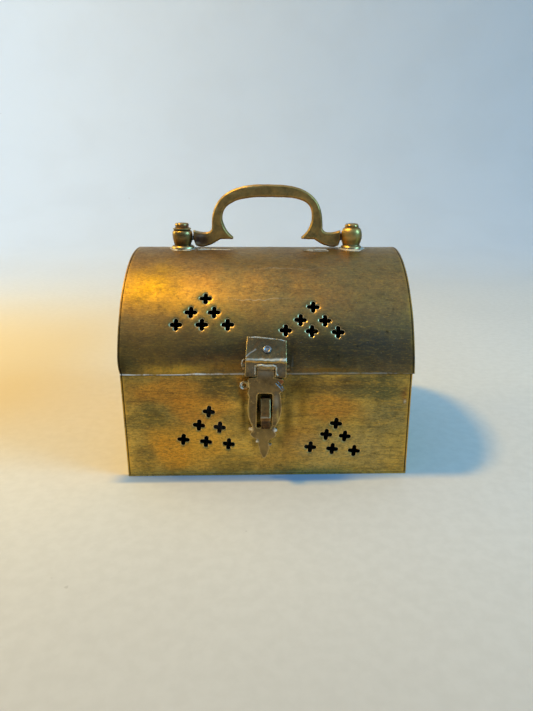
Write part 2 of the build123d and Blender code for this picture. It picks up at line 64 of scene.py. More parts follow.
VAULT_LOW, VAULT_HIGH = box_mm("lid_vault")
FRONT_LOW, FRONT_HIGH = box_mm("body_front")
END_LOW, END_HIGH = box_mm("body_end_left")
SHEET = FRONT_HIGH.y - FRONT_LOW.y
LIP_Z = VAULT_LOW.z
LID_TOP_Z = VAULT_HIGH.z
RISE = LID_TOP_Z - LIP_Z
VAULT_R = (VAULT_HIGH.y**2 + RISE**2) / (2 * RISE)
VAULT_Z = LID_TOP_Z - VAULT_R
LIP_ANGLE = asin((LIP_Z - VAULT_Z) / VAULT_R)
LIP_ARC = VAULT_R * LIP_ANGLE
BACK_ARC = pi * VAULT_R

# ---- other sizes, in millimetres ----
SHEET_STEP = 1.5  # between the sheets' mesh points
HOLE_REACH = 2.375  # from a hole's centre to the ends of its lobes
LOBE_R = 0.85
HOLE_MIDDLE = 1.2  # radius around a hole's centre that holds no mesh points
HOLE_MARGIN = 1.0  # around a hole's outline, with only the rim's own points
NEAR_HOLE = 5.0  # beyond this from a hole's centre its outline isn't measured
FAR_HOLE = 40.0  # longer than any hole
RIM_STEPS = (0.16, 0.34, 0.7)  # distances of the rows of points around a hole
RIM_WIDTH = 0.17  # of the polished rim
BORDER_WIDTH = 0.45  # of the worn border
SMALL_PATCH = 2.6  # below this a patch of colour keeps a nearly even outline

scene = bpy.context.scene
joints = {joint["name"]: joint for joint in frame["joints"]}

# The latch's own frame, centred on its pin: across to the right, up along the hasp, out to the front.
latch = joints["hasp_hinge"]
PIN = Vector(latch["pos_m"]) / MM
RIGHT = -Vector(latch["axis"]).normalized()
UP = Vector((-RIGHT.z, 0.0, RIGHT.x))
OUT = Vector((0.0, -1.0, 0.0))


def latch_point(across, up, out):
    return PIN + RIGHT * across + UP * up + OUT * out


# ---- mesh helpers ----
def new_object(name, verts, faces, sharp_deg, attributes=None):
    """A mesh object from points in millimetres, smooth but for its sharper edges."""
    mesh = bpy.data.meshes.new(name)
    mesh.from_pydata([Vector(v) * MM for v in verts], [], faces)
    bm = bmesh.new()
    bm.from_mesh(mesh)
    bmesh.ops.recalc_face_normals(bm, faces=bm.faces)
    bm.to_mesh(mesh)
    bm.free()
    mesh.shade_smooth()
    mesh.set_sharp_from_angle(angle=radians(sharp_deg))
    for key, values in (attributes or {}).items():
        attribute = mesh.attributes.new(key, "FLOAT", "POINT")
        attribute.data.foreach_set("value", values)
    piece = bpy.data.objects.new(name, mesh)
    scene.collection.objects.link(piece)
    return piece


def inside(point, loop):
    """Whether a 2-D point is inside a closed loop."""
    x, y = point
    odd = False
    for (x1, y1), (x2, y2) in zip(loop, loop[1:] + loop[:1]):
        if (y1 > y) != (y2 > y) and x < x1 + (y - y1) * (x2 - x1) / (y2 - y1):
            odd = not odd
    return odd


def distance(point, loop):
    """Distance from a 2-D point to a closed loop."""
    px, py = point
    best = 1e9
    for (x1, y1), (x2, y2) in zip(loop, loop[1:] + loop[:1]):
        dx, dy = x2 - x1, y2 - y1
        size = dx * dx + dy * dy
        t = 0 if size == 0 else min(1, max(0, ((px - x1) * dx + (py - y1) * dy) / size))
        best = min(best, hypot(px - x1 - t * dx, py - y1 - t * dy))
    return best


def resample(loop, step):
    """A closed loop with points added, about a step apart."""
    out = []
    for (x1, y1), (x2, y2) in zip(loop, loop[1:] + loop[:1]):
        count = max(1, round(hypot(x2 - x1, y2 - y1) / step))
        out += [(x1 + (x2 - x1) * i / count, y1 + (y2 - y1) * i / count) for i in range(count)]
    return out


def arch(half_width, low, high, power, count=20):
    """One side of a squared arch, a superellipse, from its springing up to its middle."""
    points = []
    for k in range(count + 1):
        turn = pi / 2 * k / count
        across = half_width * abs(cos(turn)) ** (2 / power)
        points.append((across, low + (high - low) * sin(turn) ** (2 / power)))
    return points


def bend(start, control, end, count=8):
    """Quadratic curve from start to end, pulled towards control."""
    points = []
    for k in range(count + 1):
        t = k / count
        near, pull, far = (1 - t) ** 2, 2 * t * (1 - t), t * t
        points.append(tuple(near * a + pull * b + far * c for a, b, c in zip(start, control, end)))
    return points


def inset(loop, amount):
    """A clockwise or anticlockwise loop moved inwards."""
    out = []
    count = len(loop)
    for i in range(count):
        (x0, y0), (x1, y1) = loop[i - 1], loop[(i + 1) % count]
        size = hypot(x1 - x0, y1 - y0) or 1.0
        x, y = loop[i]
        step = ((y1 - y0) / size * amount, -(x1 - x0) / size * amount)
        spot = (x + step[0], y + step[1])
        out.append(spot if inside(spot, loop) else (x - step[0], y - step[1]))
    return out


def mark_edges(piece, loops, flatten, width):
    """Stores how near each point is to the given loops, for worn edges."""
    flat = np.array([flatten(v.co / MM) for v in piece.data.vertices])
    best = np.full(len(flat), 1e9)
    for loop in loops:
        for a, b in zip(loop, loop[1:] + loop[:1]):
            start, along = np.array(a), np.array(b) - np.array(a)
            t = np.clip(((flat - start) @ along) / max(along @ along, 1e-9), 0, 1)
            best = np.minimum(best, np.linalg.norm(flat - start - t[:, None] * along, axis=1))
    attribute = piece.data.attributes.new("border", "FLOAT", "POINT")
    attribute.data.foreach_set("value", np.exp(-((best / width) ** 2)).astype(np.float32))


def triangulate(outline, holes, extra=()):
    """Points and triangles filling an outline but for its holes."""
    points, edges = [], []
    for loop in [outline] + holes:
        start = len(points)
        points += loop
        edges += [(start + i, start + (i + 1) % len(loop)) for i in range(len(loop))]
    points += extra
    result = delaunay_2d_cdt([Vector(p) for p in points], edges, [], 0, 1e-6)
    flat = [tuple(p) for p in result[0]]
    triangles = []
    for triangle in result[2]:
        x = sum(flat[i][0] for i in triangle) / 3
        y = sum(flat[i][1] for i in triangle) / 3
        near = [h for h in holes if abs(h[0][0] - x) < FAR_HOLE and abs(h[0][1] - y) < FAR_HOLE]
        if inside((x, y), outline) and not any(inside((x, y), h) for h in near):
            triangles.append(tuple(triangle))
    return flat, triangles


def close_skins(count, triangles):
    """Faces of a closed solid made of a front skin, its copy behind, and walls on all open edges."""
    uses = {}
    for a, b, c in triangles:
        for e in ((a, b), (b, c), (c, a)):
            uses[frozenset(e)] = uses.get(frozenset(e), 0) + 1
    faces = list(triangles) + [(c + count, b + count, a + count) for a, b, c in triangles]
    for a, b, c in triangles:
        for i, j in ((a, b), (b, c), (c, a)):
            if uses[frozenset((i, j))] == 1:
                faces.append((j, i, i + count, j + count))
    return faces


def quatrefoil(centre, tilt, seed):
    """Outline of one hand-punched hole: four round lobes, each set by a punch."""
    points = []
    for k in range(4):
        wobble = 0.1 * noise.noise(Vector((seed * 3.7, k * 5.3, 0.5)))
        angle = radians(tilt) + k * pi / 2
        out = HOLE_REACH - LOBE_R + wobble
        for j in range(7):
            turn = angle + (-pi / 2 + pi * j / 6)
            x = centre[0] + out * cos(angle) + LOBE_R * cos(turn)
            y = centre[1] + out * sin(angle) + LOBE_R * sin(turn)
            points.append((x, y))
        for across, along in ((LOBE_R * 1.12, LOBE_R * 0.98), (LOBE_R * 0.98, LOBE_R * 1.12)):
            x = centre[0] + across * cos(angle) - along * sin(angle)
            y = centre[1] + across * sin(angle) + along * cos(angle)
            points.append((x, y))
    return points


def group(tilt, rows, flip=None):
    """Centres and tilt of six holes in rows of three, two and one; flip turns them over to the back."""
    spots = []
    for count, (centre, height, pitch) in zip((3, 2, 1), rows):
        for i in range(count):
            along = (i - (count - 1) / 2) * pitch
            x = centre + along * cos(radians(tilt))
            y = height + along * sin(radians(tilt))
            spots.append(((x, y), tilt) if flip is None else ((-x, flip - y), tilt))
    return spots


def pierced_sheet(name, outline, spots, place):
    """A thin sheet with punched holes whose rims roll inwards. place(u, v, depth) gives its points."""
    step = SHEET_STEP
    holes = [quatrefoil(c, tilt, i + len(name)) for i, (c, tilt) in enumerate(spots)]
    border = resample(outline, step)
    extra = []
    for (c, _), hole in zip(spots, holes):
        for push in RIM_STEPS:
            for x, y in hole:
                grow = 1 + push / hypot(x - c[0], y - c[1])
                extra.append((c[0] + (x - c[0]) * grow, c[1] + (y - c[1]) * grow))
    us = [p[0] for p in outline]
    vs = [p[1] for p in outline]
    row = 0
    v = min(vs) + step / 2
    while v < max(vs):
        u = min(us) + step / 2 * (1 + row % 2)
        while u < max(us):
            clear = all(
                hypot(u - c[0], v - c[1]) > NEAR_HOLE or distance((u, v), hole) > HOLE_MARGIN
                for (c, _), hole in zip(spots, holes)
            )
            in_hole = any(hypot(u - c[0], v - c[1]) < HOLE_MIDDLE for c, _ in spots)
            if clear and not in_hole and inside((u, v), outline) and distance((u, v), outline) > step / 3:
                extra.append((u, v))
            u += step
        v += step * 0.87
        row += 1
    flat, triangles = triangulate(border, holes, extra)
    rim, edge, front, back = [], [], [], []
    for u, v in flat:
        near = [
            distance((u, v), hole)
            for (c, _), hole in zip(spots, holes)
            if hypot(u - c[0], v - c[1]) < NEAR_HOLE
        ]
        to_hole = min(near, default=NEAR_HOLE)
        to_edge = distance((u, v), outline)
        rim.append(exp(-((to_hole / RIM_WIDTH) ** 2)))
        edge.append(exp(-((to_edge / BORDER_WIDTH) ** 2)))
        roll = 0.2 * exp(-((to_hole / 0.2) ** 2)) + 0.1 * exp(-((to_hole / 0.8) ** 2))
        front.append(place(u, v, roll))
        back.append(place(u, v, SHEET))
    faces = close_skins(len(flat), triangles)
    depth = [0.0] * len(flat) + [1.0] * len(flat)
    layers = {"rim": rim + [0.0] * len(flat), "border": edge * 2, "inner": depth}
    return new_object(name, front + back, faces, 50.0, layers)


def prism(outline, holes, lift, low, high):
    """Points and faces of a closed solid from an outline with holes, between two depths."""
    flat, triangles = triangulate(outline, holes)
    verts = [lift(u, v, high) for u, v in flat] + [lift(u, v, low) for u, v in flat]
    return verts, close_skins(len(flat), triangles)


def tube_faces(rings, count):
    """Faces of a closed tube of rings of points, with a flat cap at each end."""
    faces = []
    for i in range(rings - 1):
        for k in range(count):
            a, b = i * count + k, i * count + (k + 1) % count
            faces.append((a, b, b + count, a + count))
    faces.append(tuple(range(count))[::-1])
    faces.append(tuple((rings - 1) * count + k for k in range(count)))
    return faces


def revolved(profile, centre, count, lean, seed):
    """Points and faces of a closed turned solid from (radius, z) pairs, bottom to top, a little uneven."""
    verts = []
    z0 = profile[0][1]
    for r, z in profile:
        for k in range(count):
            a = 2 * pi * k / count
            n = noise.noise(Vector((cos(a) * 1.1 + seed, sin(a) * 1.1, z * 0.45)))
            rr = r * (1 + 0.05 * n)
            verts.append((centre[0] + rr * cos(a) + lean * (z - z0), centre[1] + rr * sin(a), z))
    return verts, tube_faces(len(profile), count)


def worm(path, radii, count=10):
    """Points and faces of a closed bead along a path, with its own radius at each point."""
    verts = []
    for i, (point, radius) in enumerate(zip(path, radii)):
        along = (Vector(path[min(i + 1, len(path) - 1)]) - Vector(path[max(i - 1, 0)])).normalized()
        side = along.cross(Vector((0.13, -0.3, 1.0))).normalized()
        lift = side.cross(along)
        for k in range(count):
            a = 2 * pi * k / count
            verts.append(Vector(point) + (side * cos(a) + lift * sin(a)) * radius)
    return verts, tube_faces(len(path), count)


def casting(name, solids, voxel, smoothing, rough, grain, seed):
    """Fuses closed solids into one casting with softened edges and a slightly uneven skin."""
    verts, faces = [], []
    for v, f in solids:
        start = len(verts)
        verts += [Vector(p) for p in v]
        faces += [tuple(i + start for i in face) for face in f]
    piece = new_object(name, verts, faces, 180.0)
    fuse = piece.modifiers.new("fuse", "REMESH")
    fuse.mode = "VOXEL"
    fuse.voxel_size = voxel * MM
    soften = piece.modifiers.new("soften", "SMOOTH")
    soften.factor = 0.5
    soften.iterations = smoothing
    graph = bpy.context.evaluated_depsgraph_get()
    done = bpy.data.meshes.new_from_object(piece.evaluated_get(graph))
    piece.modifiers.clear()
    piece.data = done
    normals = [v.normal.copy() for v in done.vertices]
    for vertex, normal in zip(done.vertices, normals):
        p = vertex.co / MM
        n = noise.noise(p / grain + Vector((seed, 0, 0))) + 0.5 * noise.noise(p / (grain * 0.35))
        vertex.co += normal * (rough * n * MM)
    done.shade_smooth()
    return piece


# ---- material helpers ----
def linear(paint):
    """A linear colour from three display values of 0 to 255; a socket or a linear colour stays as it is."""
    if not isinstance(paint, tuple) or len(paint) != 3:
        return paint
    shares = [value / 255 for value in paint]
    return tuple(c / 12.92 if c <= 0.04045 else ((c + 0.055) / 1.055) ** 2.4 for c in shares) + (1.0,)


class Shader:
    """Builds one node material; the values it works with are output sockets."""

    def __init__(self, name):
        self.material = bpy.data.materials.new(name)
        self.material.use_nodes = True
        self.tree = self.material.node_tree
        self.principled = self.tree.nodes["Principled BSDF"]
        self.here = self.tree.nodes.new("ShaderNodeTexCoord").outputs["Object"]

    def link(self, value, socket):
        if isinstance(value, bpy.types.NodeSocket):
            self.tree.links.new(value, socket)
        else:
            socket.default_value = value

    def node(self, kind, inputs=()):
        """A new node with its inputs, given as pairs of a socket's name or number and its value."""
        node = self.tree.nodes.new("ShaderNode" + kind)
        for key, value in inputs:
            self.link(value, node.inputs[key])
        return node

    def math(self, kind, a, b=0.0, clamp=False):
        node = self.node("Math", [(0, a), (1, b)])
        node.operation = kind
        node.use_clamp = clamp
        return node.outputs[0]

    def vector(self, kind, a, b=(0.0, 0.0, 0.0)):
        node = self.node("VectorMath", [(0, a), (1, b)])
        node.operation = kind
        return node.outputs["Value"] if kind == "DOT_PRODUCT" else node.outputs[0]

    def noise(self, scale, detail=4.0, rough=0.55, stretch=(1.0, 1.0, 1.0), shift=0.0):
        place = self.vector("MULTIPLY", self.here, stretch)
        place = self.vector("ADD", place, (shift, shift * 0.7, shift * 1.3))
        settings = [("Vector", place), ("Scale", scale), ("Detail", detail), ("Roughness", rough)]
        return self.node("TexNoise", settings).outputs["Fac"]

    def span(self, value, low, high, to_low=0.0, to_high=1.0):
        """A smooth step of a value, from to_low at low to to_high at high."""
        node = self.node("MapRange", enumerate((value, low, high, to_low, to_high)))
        node.interpolation_type = "SMOOTHSTEP"
        return node.outputs[0]

    def times(self, a, b, clamp=False):
        return self.math("MULTIPLY", a, b, clamp)

    def mix(self, share, a, b):
        node = self.node("Mix")
        node.data_type = "RGBA"
        for key, value in (("Factor", share), ("A", linear(a)), ("B", linear(b))):
            self.link(value, node.inputs[key])
        return node.outputs["Result"]

    def cover(self, colour, paint, value, low, high, none=0.0, full=1.0):
        """Paint laid over a colour, by a share that goes from none to full as value goes from low to high."""
        return self.mix(self.span(value, low, high, none, full), colour, paint)

    def axis(self, name):
        return self.node("SeparateXYZ", [(0, self.here)]).outputs[name]

    def along(self, name, low, high, to_low=0.0, to_high=1.0):
        """A smooth step along one axis of the object, in metres."""
        return self.span(self.axis(name), low, high, to_low, to_high)

    def value(self, name):
        node = self.node("Attribute")
        node.attribute_name = name
        return node.outputs["Fac"]

    def wear(self, low, high):
        """How sharply the surface turns outwards, for worn edges."""
        return self.span(self.node("NewGeometry").outputs["Pointiness"], low, high)

    def warped(self, amount, scale):
        """Object coordinates pushed about by noise, so that patches have broken edges."""
        node = self.node("TexNoise", [("Vector", self.here), ("Scale", scale), ("Detail", 5.0)])
        centred = self.vector("SUBTRACT", node.outputs["Color"], (0.5, 0.5, 0.5))
        return self.vector("ADD", self.here, self.vector("MULTIPLY", centred, (amount,) * 3))

    def patch(self, where, x, z, wide, tall, strength=1.0, crisp=False):
        """A patch centred at x, z in millimetres, at any depth; a crisp one has a definite edge."""
        centre = self.vector("SUBTRACT", where, (x * MM, 0.0, z * MM))
        scaled = self.vector("MULTIPLY", centre, (1 / (wide * MM), 0.0, 1 / (tall * MM)))
        far = self.vector("DOT_PRODUCT", scaled, scaled)
        if crisp:
            far = self.math("POWER", far, 3.0)
        fall = self.times(far, -1.0)
        return self.times(self.math("EXPONENT", fall), strength, clamp=True)

    def bump(self, height, strength, size):
        settings = [("Strength", strength), ("Distance", size * MM), ("Height", height)]
        self.link(self.node("Bump", settings).outputs[0], self.principled.inputs["Normal"])

    def finish(self, colour, roughness, metallic=1.0):
        self.link(colour, self.principled.inputs["Base Color"])
        self.link(roughness, self.principled.inputs["Roughness"])
        self.link(metallic, self.principled.inputs["Metallic"])
        return self.material


OLIVE = (134, 112, 62)
GOLD = (220, 172, 72)
OCHRE = (210, 144, 52)
BROWN = (112, 84, 52)
DARK = (70, 62, 48)
GREEN = (100, 96, 58)
PALE = (228, 222, 205)
CREAM = (240, 216, 164)


def sheet_brass(name, clean, dull, patches, shades=(), rough=0.38, lip=False, rims=0.72, base=False):
    """Aged sheet brass: tarnish clouds, wipe lines, specks, hole rims partly polished and partly a painted
    highlight, worn edges, and painted shadows and shade.

    lip is for the lid, with a streaky painted highlight along its lip; base is for the base plate, painted
    dark on its upper side as shade inside the chest.
    """
    s = Shader(name)
    clouds = s.noise(38.0, 6.0, 0.6)
    colour = s.mix(s.span(clouds, 0.38, 0.66), clean, dull)
    blotch = s.noise(95.0, 5.0, 0.62, shift=3.1)
    colour = s.cover(colour, OCHRE, blotch, 0.52, 0.74, 0.0, 0.2 if lip else 0.45)
    where = s.warped(0.012, 70.0)
    nearly = s.warped(0.0022, 260.0)
    for x, z, wide, tall, strength, paint in patches:
        small = min(wide, tall) < SMALL_PATCH
        spot = s.patch(nearly if small else where, x, z, wide, tall, strength, crisp=not lip and not small)
        colour = s.mix(spot, colour, paint)
    wipes = s.noise(90.0, 4.0, 0.7, stretch=(0.6, 0.6, 14.0), shift=1.7)
    brush = s.noise(110.0, 4.0, 0.7, stretch=(12.0, 0.8, 0.6), shift=9.1)
    colour = s.cover(colour, GOLD, wipes, 0.5, 0.72, 0.0, 0.1 if lip else 0.2)
    colour = s.cover(colour, OLIVE, brush, 0.5, 0.75, 0.0, 0.14)
    mottle = s.noise(330.0, 5.0, 0.7, shift=12.0)
    colour = s.cover(colour, BROWN, mottle, 0.48, 0.7, 0.0, 0.4 if lip else 0.25)
    cloudy = s.noise(150.0, 8.0, 0.72, stretch=(0.4, 1.0, 1.5), shift=15.0)
    cloud_paint = (108, 88, 64) if lip else (104, 98, 58)
    colour = s.cover(colour, cloud_paint, cloudy, 0.5, 0.66, 0.0, 0.42 if lip else 0.22)
    colour = s.cover(colour, GOLD, cloudy, 0.32, 0.46, 0.12 if lip else 0.15, 0.0)
    lines = s.noise(160.0, 6.0, 0.75, stretch=(0.25, 1.0, 3.5), shift=21.0)
    colour = s.cover(colour, GOLD, lines, 0.5, 0.68, 0.0, 0.06 if lip else 0.45)
    colour = s.cover(colour, DARK, lines, 0.34, 0.48, 0.12 if lip else 0.4, 0.0)
    grain = s.noise(1500.0, 5.0, 0.75, stretch=(0.45, 1.0, 1.7), shift=31.0)
    colour = s.cover(colour, s.mix(0.5, colour, DARK), grain, 0.42, 0.66, 0.0, 0.5 if lip else 0.9)
    colour = s.cover(colour, GOLD, grain, 0.34, 0.48, 0.3 if lip else 0.6, 0.0)
    crust = s.noise(620.0, 6.0, 0.8, shift=37.0)
    colour = s.cover(colour, (98, 86, 58), crust, 0.5, 0.64, 0.0, 0.35 if lip else 0.4)
    dust = s.noise(2100.0, 2.0, 0.5, shift=44.0)
    colour = s.cover(colour, PALE, dust, 0.72, 0.8, 0.0, 0.6)
    dirt = s.noise(900.0, 3.0, 0.6, shift=8.0)
    colour = s.cover(colour, DARK, dirt, 0.62, 0.74, 0.0, 0.5)
    broken = s.span(s.noise(160.0, 4.0, shift=5.0), 0.35, 0.6)
    worn = s.times(s.value("border"), s.times(broken, 0.4 if lip else 0.75))
    colour = s.mix(worn, colour, GOLD)
    if lip:
        # The pale streaks low on the lip are a painted highlight of its edge, strongest on the left where the
        # warm light falls; solder is their mask.
        wave = s.span(s.noise(75.0, 3.0, shift=6.0), 0.3, 0.7, -0.35 * MM, 0.35 * MM)
        wavy = s.math("ADD", s.axis("Z"), wave)
        low = s.span(wavy, (LIP_Z + 0.4) * MM, (LIP_Z + 0.75) * MM, 1.0, 0.0)
        streaks = s.span(s.noise(120.0, 4.0, 0.7, shift=2.0), 0.32, 0.5)
        left = s.along("X", -0.034, 0.0, 1.0, 0.2)
        solder = s.times(low, streaks)
        colour = s.mix(s.times(solder, left), colour, (255, 255, 250))
    elif not base:
        # Painted shadow of the lid: a near-black band along the body's top, just under the lip.
        under = s.along("Z", (LIP_Z - 0.9) * MM, (LIP_Z - 0.25) * MM)
        colour = s.mix(s.times(under, 0.9), colour, (34, 27, 18))
    # Painted shadows from the shades, kept to the front half.
    front = s.along("Y", -0.02, -0.005, 1.0, 0.0)
    for x, z, wide, tall, strength in shades:
        dim = s.times(front, s.patch(nearly, x, z, wide, tall, strength))
        colour = s.mix(dim, colour, (9, 7, 5))
    # Hole rims painted pale, less metallic and smoother: partly polished wear, partly a painted highlight of
    # the rolled edge.
    rim = s.value("rim")
    colour = s.mix(s.times(rim, rims), colour, CREAM if lip else (255, 206, 122))
    # Painted shade inside the chest: the sheets' inner skin and the base plate's upper side are made near
    # black.
    behind = s.along("Z", 0.6 * MM, 0.8 * MM) if base else s.span(s.value("inner"), 0.2, 0.8)
    colour = s.mix(behind, colour, s.mix(s.span(clouds, 0.35, 0.7), (60, 50, 35), (34, 28, 21)))
    fine = s.noise(420.0, 4.0, 0.65, shift=4.0)
    cloud_rough = s.span(clouds, 0.3, 0.7, rough - 0.06, rough + 0.12)
    roughness = s.math("ADD", cloud_rough, s.span(fine, 0.3, 0.7, -0.04, 0.06))
    roughness = s.math("ADD", roughness, s.times(rim, -0.12), clamp=True)
    height = s.math("ADD", s.times(fine, 0.35), s.times(blotch, 0.6))
    s.bump(s.math("ADD", s.times(wipes, 0.4), height), 0.45, 0.12)
    metallic = s.math("SUBTRACT", 1.0, s.times(rim, 0.5 if lip else 0.35))
    if lip:
        # Less metallic under the lip's painted highlight, so it stays pale.
        metallic = s.math("SUBTRACT", metallic, s.times(solder, s.times(left, 0.7)), clamp=True)
    return s.finish(colour, roughness, metallic)


def cast_brass(name, base, dark, worn, rough=0.4, low=0.5, high=0.56, patches=()):
    """Cast brass: dark skin, dirt in the hollows and bright worn edges."""
    s = Shader(name)
    clouds = s.noise(150.0, 5.0, 0.6)
    colour = s.mix(s.span(clouds, 0.35, 0.68, 0.0, 0.7), base, dark)
    blots = s.noise(420.0, 6.0, 0.75, shift=13.0)
    colour = s.cover(colour, s.mix(0.6, dark, DARK), blots, 0.48, 0.66, 0.0, 0.55)
    colour = s.cover(colour, worn, blots, 0.3, 0.44, 0.35, 0.0)
    specks = s.noise(700.0, 4.0, 0.7, shift=2.2)
    colour = s.cover(colour, worn, specks, 0.6, 0.75, 0.0, 0.35)
    edges = s.math("MAXIMUM", s.wear(low, high), s.value("border"))
    broken = s.span(s.noise(330.0, 4.0, 0.6, shift=6.0), 0.3, 0.62, 0.35, 1.0)
    colour = s.mix(s.times(edges, broken), colour, worn)
    colour = s.mix(s.times(s.wear(0.49, 0.44), 0.7), colour, dark)
    where = s.warped(0.0008, 500.0)
    for x, z, wide, tall, strength, paint in patches:
        colour = s.mix(s.patch(where, x, z, wide, tall, strength), colour, paint)
    fine = s.noise(1300.0, 4.0, 0.65)
    cloud_rough = s.span(clouds, 0.3, 0.7, rough - 0.05, rough + 0.12)
    roughness = s.math("ADD", cloud_rough, s.times(edges, -0.1), clamp=True)
    s.bump(s.math("ADD", s.times(fine, 0.4), clouds), 0.4, 0.1)
    return s.finish(colour, roughness)


def dull_steel(name):
    """Peened grey steel with a darker ring of dirt."""
    s = Shader(name)
    clouds = s.noise(600.0, 4.0, 0.6)
    colour = s.mix(s.span(clouds, 0.35, 0.65), (150, 150, 152), (96, 92, 88))
    colour = s.mix(s.times(s.wear(0.49, 0.43), 0.8), colour, (50, 42, 34))
    s.bump(clouds, 0.3, 0.08)
    return s.finish(colour, s.span(clouds, 0.3, 0.7, 0.3, 0.48))


def solder_metal(name, metallic):
    """Pale soft solder, slightly grey and pitted."""
    s = Shader(name)
    clouds = s.noise(420.0, 5.0, 0.65)
    colour = s.mix(s.span(clouds, 0.4, 0.66), (226, 220, 204), (150, 138, 112))
    s.bump(clouds, 0.5, 0.15)
    return s.finish(colour, s.span(clouds, 0.3, 0.7, 0.32, 0.55), metallic)


# A patch is x, z, half width, half height in millimetres, strength, colour.
RED = (150, 88, 52)
BODY_PATCHES = (
    (-36, 34, 17, 5.5, 0.7, (232, 160, 62)),
    (-24, 28, 11, 7, 0.75, (230, 158, 60)),
    (-30, 13, 15, 9, 0.75, (238, 176, 62)),
    (-36, 10, 8, 7, 0.5, (240, 166, 54)),
    (-17, 36, 9, 5.0, 0.8, (88, 88, 60)),
    (-45, 23, 7, 6, 0.6, (132, 120, 68)),
    (-40, 22, 5, 3, 0.5, (146, 128, 66)),
    (-48, 6, 6, 6, 0.65, (112, 102, 62)),
    (-14, 5, 9, 5, 0.6, (124, 114, 64)),
    (-12, 22, 6, 6, 0.5, (120, 110, 66)),
    (23, 28, 12, 7, 0.7, (226, 152, 60)),
    (12, 14, 6, 9, 0.6, (214, 150, 66)),
    (36, 36, 17, 4.5, 0.75, (100, 104, 72)),
    (44, 24, 10, 8, 0.6, (144, 138, 96)),
    (22, 37, 14, 2.6, 0.55, BROWN),
    (40, 6, 8, 3, 0.5, (140, 126, 76)),
    (28, 10, 20, 9, 0.6, (208, 184, 116)),
    (4, 6, 9, 5, 0.6, (228, 178, 84)),
    (-9, 36, 3, 5, 0.8, OCHRE),
    (14, 27, 1.6, 7, 0.5, GOLD),
    (20, 33, 7, 0.25, 0.7, GOLD),
    (18, 28.5, 6, 0.3, 0.7, GOLD),
    (24, 24, 8, 0.25, 0.6, GOLD),
    (16, 18, 5, 0.25, 0.6, GOLD),
    (30, 22.5, 9, 0.2, 0.5, OLIVE),
    (27, 30.5, 7, 0.25, 0.5, BROWN),
    (51.2, 33, 1.0, 3.0, 0.8, RED),
    (51.4, 30.0, 0.5, 0.6, 0.95, PALE),
    # Painted highlight: a bright gold line along the walls' bottom edge.
    (0, 0.55, 70, 0.7, 1.0, (255, 222, 130)),
)
# A shade is a painted shadow: x, z, half width, half height in millimetres, strength; it darkens almost to
# black, on the front half only.
BODY_SHADES = (
    # Painted shadows round the latch: inside the staple's slot, beside the hasp and along its outline, and in
    # the ear's hole; then two thin dark lines on the right.
    (-3.4, 28, 2.0, 9, 1.0),
    (1.6, 28, 2.0, 9, 1.0),
    (-0.9, 28, 2.0, 9, 1.0),
    (11.5, 35, 6, 5, 0.6),
    (-9.0, 32, 2.0, 7, 0.6),
    (-7.65, 37.1, 0.8, 0.8, 0.85),
    (13.0, 27, 1.6, 5, 0.35),
    (-9.0, 27, 0.8, 6, 0.5),
    (-8.0, 22, 2.2, 5, 0.45),
    (7.4, 24, 2.2, 9, 0.6),
    (4.5, 15, 1.6, 3, 0.4),
    (-5.0, 14, 1.6, 3, 0.4),
    (30, 38, 3.0, 0.4, 0.4),
    (41, 9, 1.2, 0.3, 0.4),
)
# Lid patches are mostly tarnish and scratches. The gold patches high on the left colour the warm light's
# reflection there, a painted reflection; the bright gold low on the left, just above the lip, and the dark
# band across the lower vault are partly tarnish, partly painted reflections.
LID_PATCHES = (
    (-42, 69.5, 12, 5.5, 1.0, (182, 150, 36)),
    (-22, 64, 16, 7, 0.6, GOLD),
    (0, 58, 70, 5.5, 0.35, OLIVE),
    (6, 50, 60, 6.0, 0.85, (90, 76, 54)),
    (38, 52, 18, 8, 0.8, (80, 78, 72)),
    (-44, 50, 12, 6, 0.75, (160, 126, 64)),
    (-34, 43.2, 13, 2.2, 0.95, (255, 196, 76)),
    (-14, 44.5, 9, 2.0, 0.6, OCHRE),
    (-20, 47.5, 10, 1.2, 0.4, RED),
    (22, 43.0, 10, 0.8, 0.7, OCHRE),
    (-50, 46, 3, 6, 0.7, GREEN),
    (30, 72, 26, 8, 0.5, (150, 120, 78)),
    (-3, 66.5, 9, 0.14, 0.35, PALE),
    (-8, 70.5, 4, 0.14, 0.4, GOLD),
    (8, 76.0, 12, 0.16, 0.2, PALE),
    (35, 58.0, 5, 0.13, 0.4, GOLD),
    (9.3, 45.5, 0.3, 2.2, 0.3, PALE),
    (10, 53.0, 14, 3.0, 0.6, (70, 60, 50)),
)
# A painted shadow right of the bracket, four small dark specks, and a dark patch at the front left corner.
LID_SHADES = (
    (9.0, 46, 1.6, 5, 0.45),
    (44, 56, 0.5, 0.5, 0.7),
    (33, 51, 0.4, 0.4, 0.6),
    (47, 63, 0.4, 0.4, 0.5),
    (26, 48, 0.4, 0.5, 0.5),
    (-52.5, 44, 1.4, 3.0, 0.5),
)

# Handle patches: dark patches on the left foot; the pale lines on the feet's tops and along the bail's upper
# left edge are painted highlights, and the pale blue-grey under the feet is a painted reflection.
HANDLE_PATCHES = (
    (-28.6, 85.2, 2.3, 2.9, 1.0, (84, 68, 66)),
    (-25.9, 84.8, 2.3, 2.5, 0.9, (78, 60, 52)),
    (-27.4, 86.6, 1.6, 0.5, 0.7, (170, 160, 150)),
    (-29.0, 83.6, 1.2, 0.5, 0.7, (176, 170, 160)),
    (-28.0, 88.7, 3.2, 0.55, 0.95, (214, 204, 172)),
    (-26.5, 82.3, 3.6, 0.5, 0.8, (182, 188, 182)),
    (29.0, 86.0, 1.6, 2.4, 0.5, (98, 74, 46)),
    (27.0, 88.3, 3.0, 0.5, 0.7, (216, 170, 92)),
    (24.5, 82.5, 3.4, 0.5, 0.75, (176, 190, 196)),
    (-17.0, 103.6, 4.5, 0.5, 0.8, (236, 204, 134)),
    (-20.8, 99.2, 0.55, 3.0, 0.8, (236, 204, 134)),
    (-9.0, 106.0, 6.0, 0.45, 0.7, (230, 200, 134)),
)
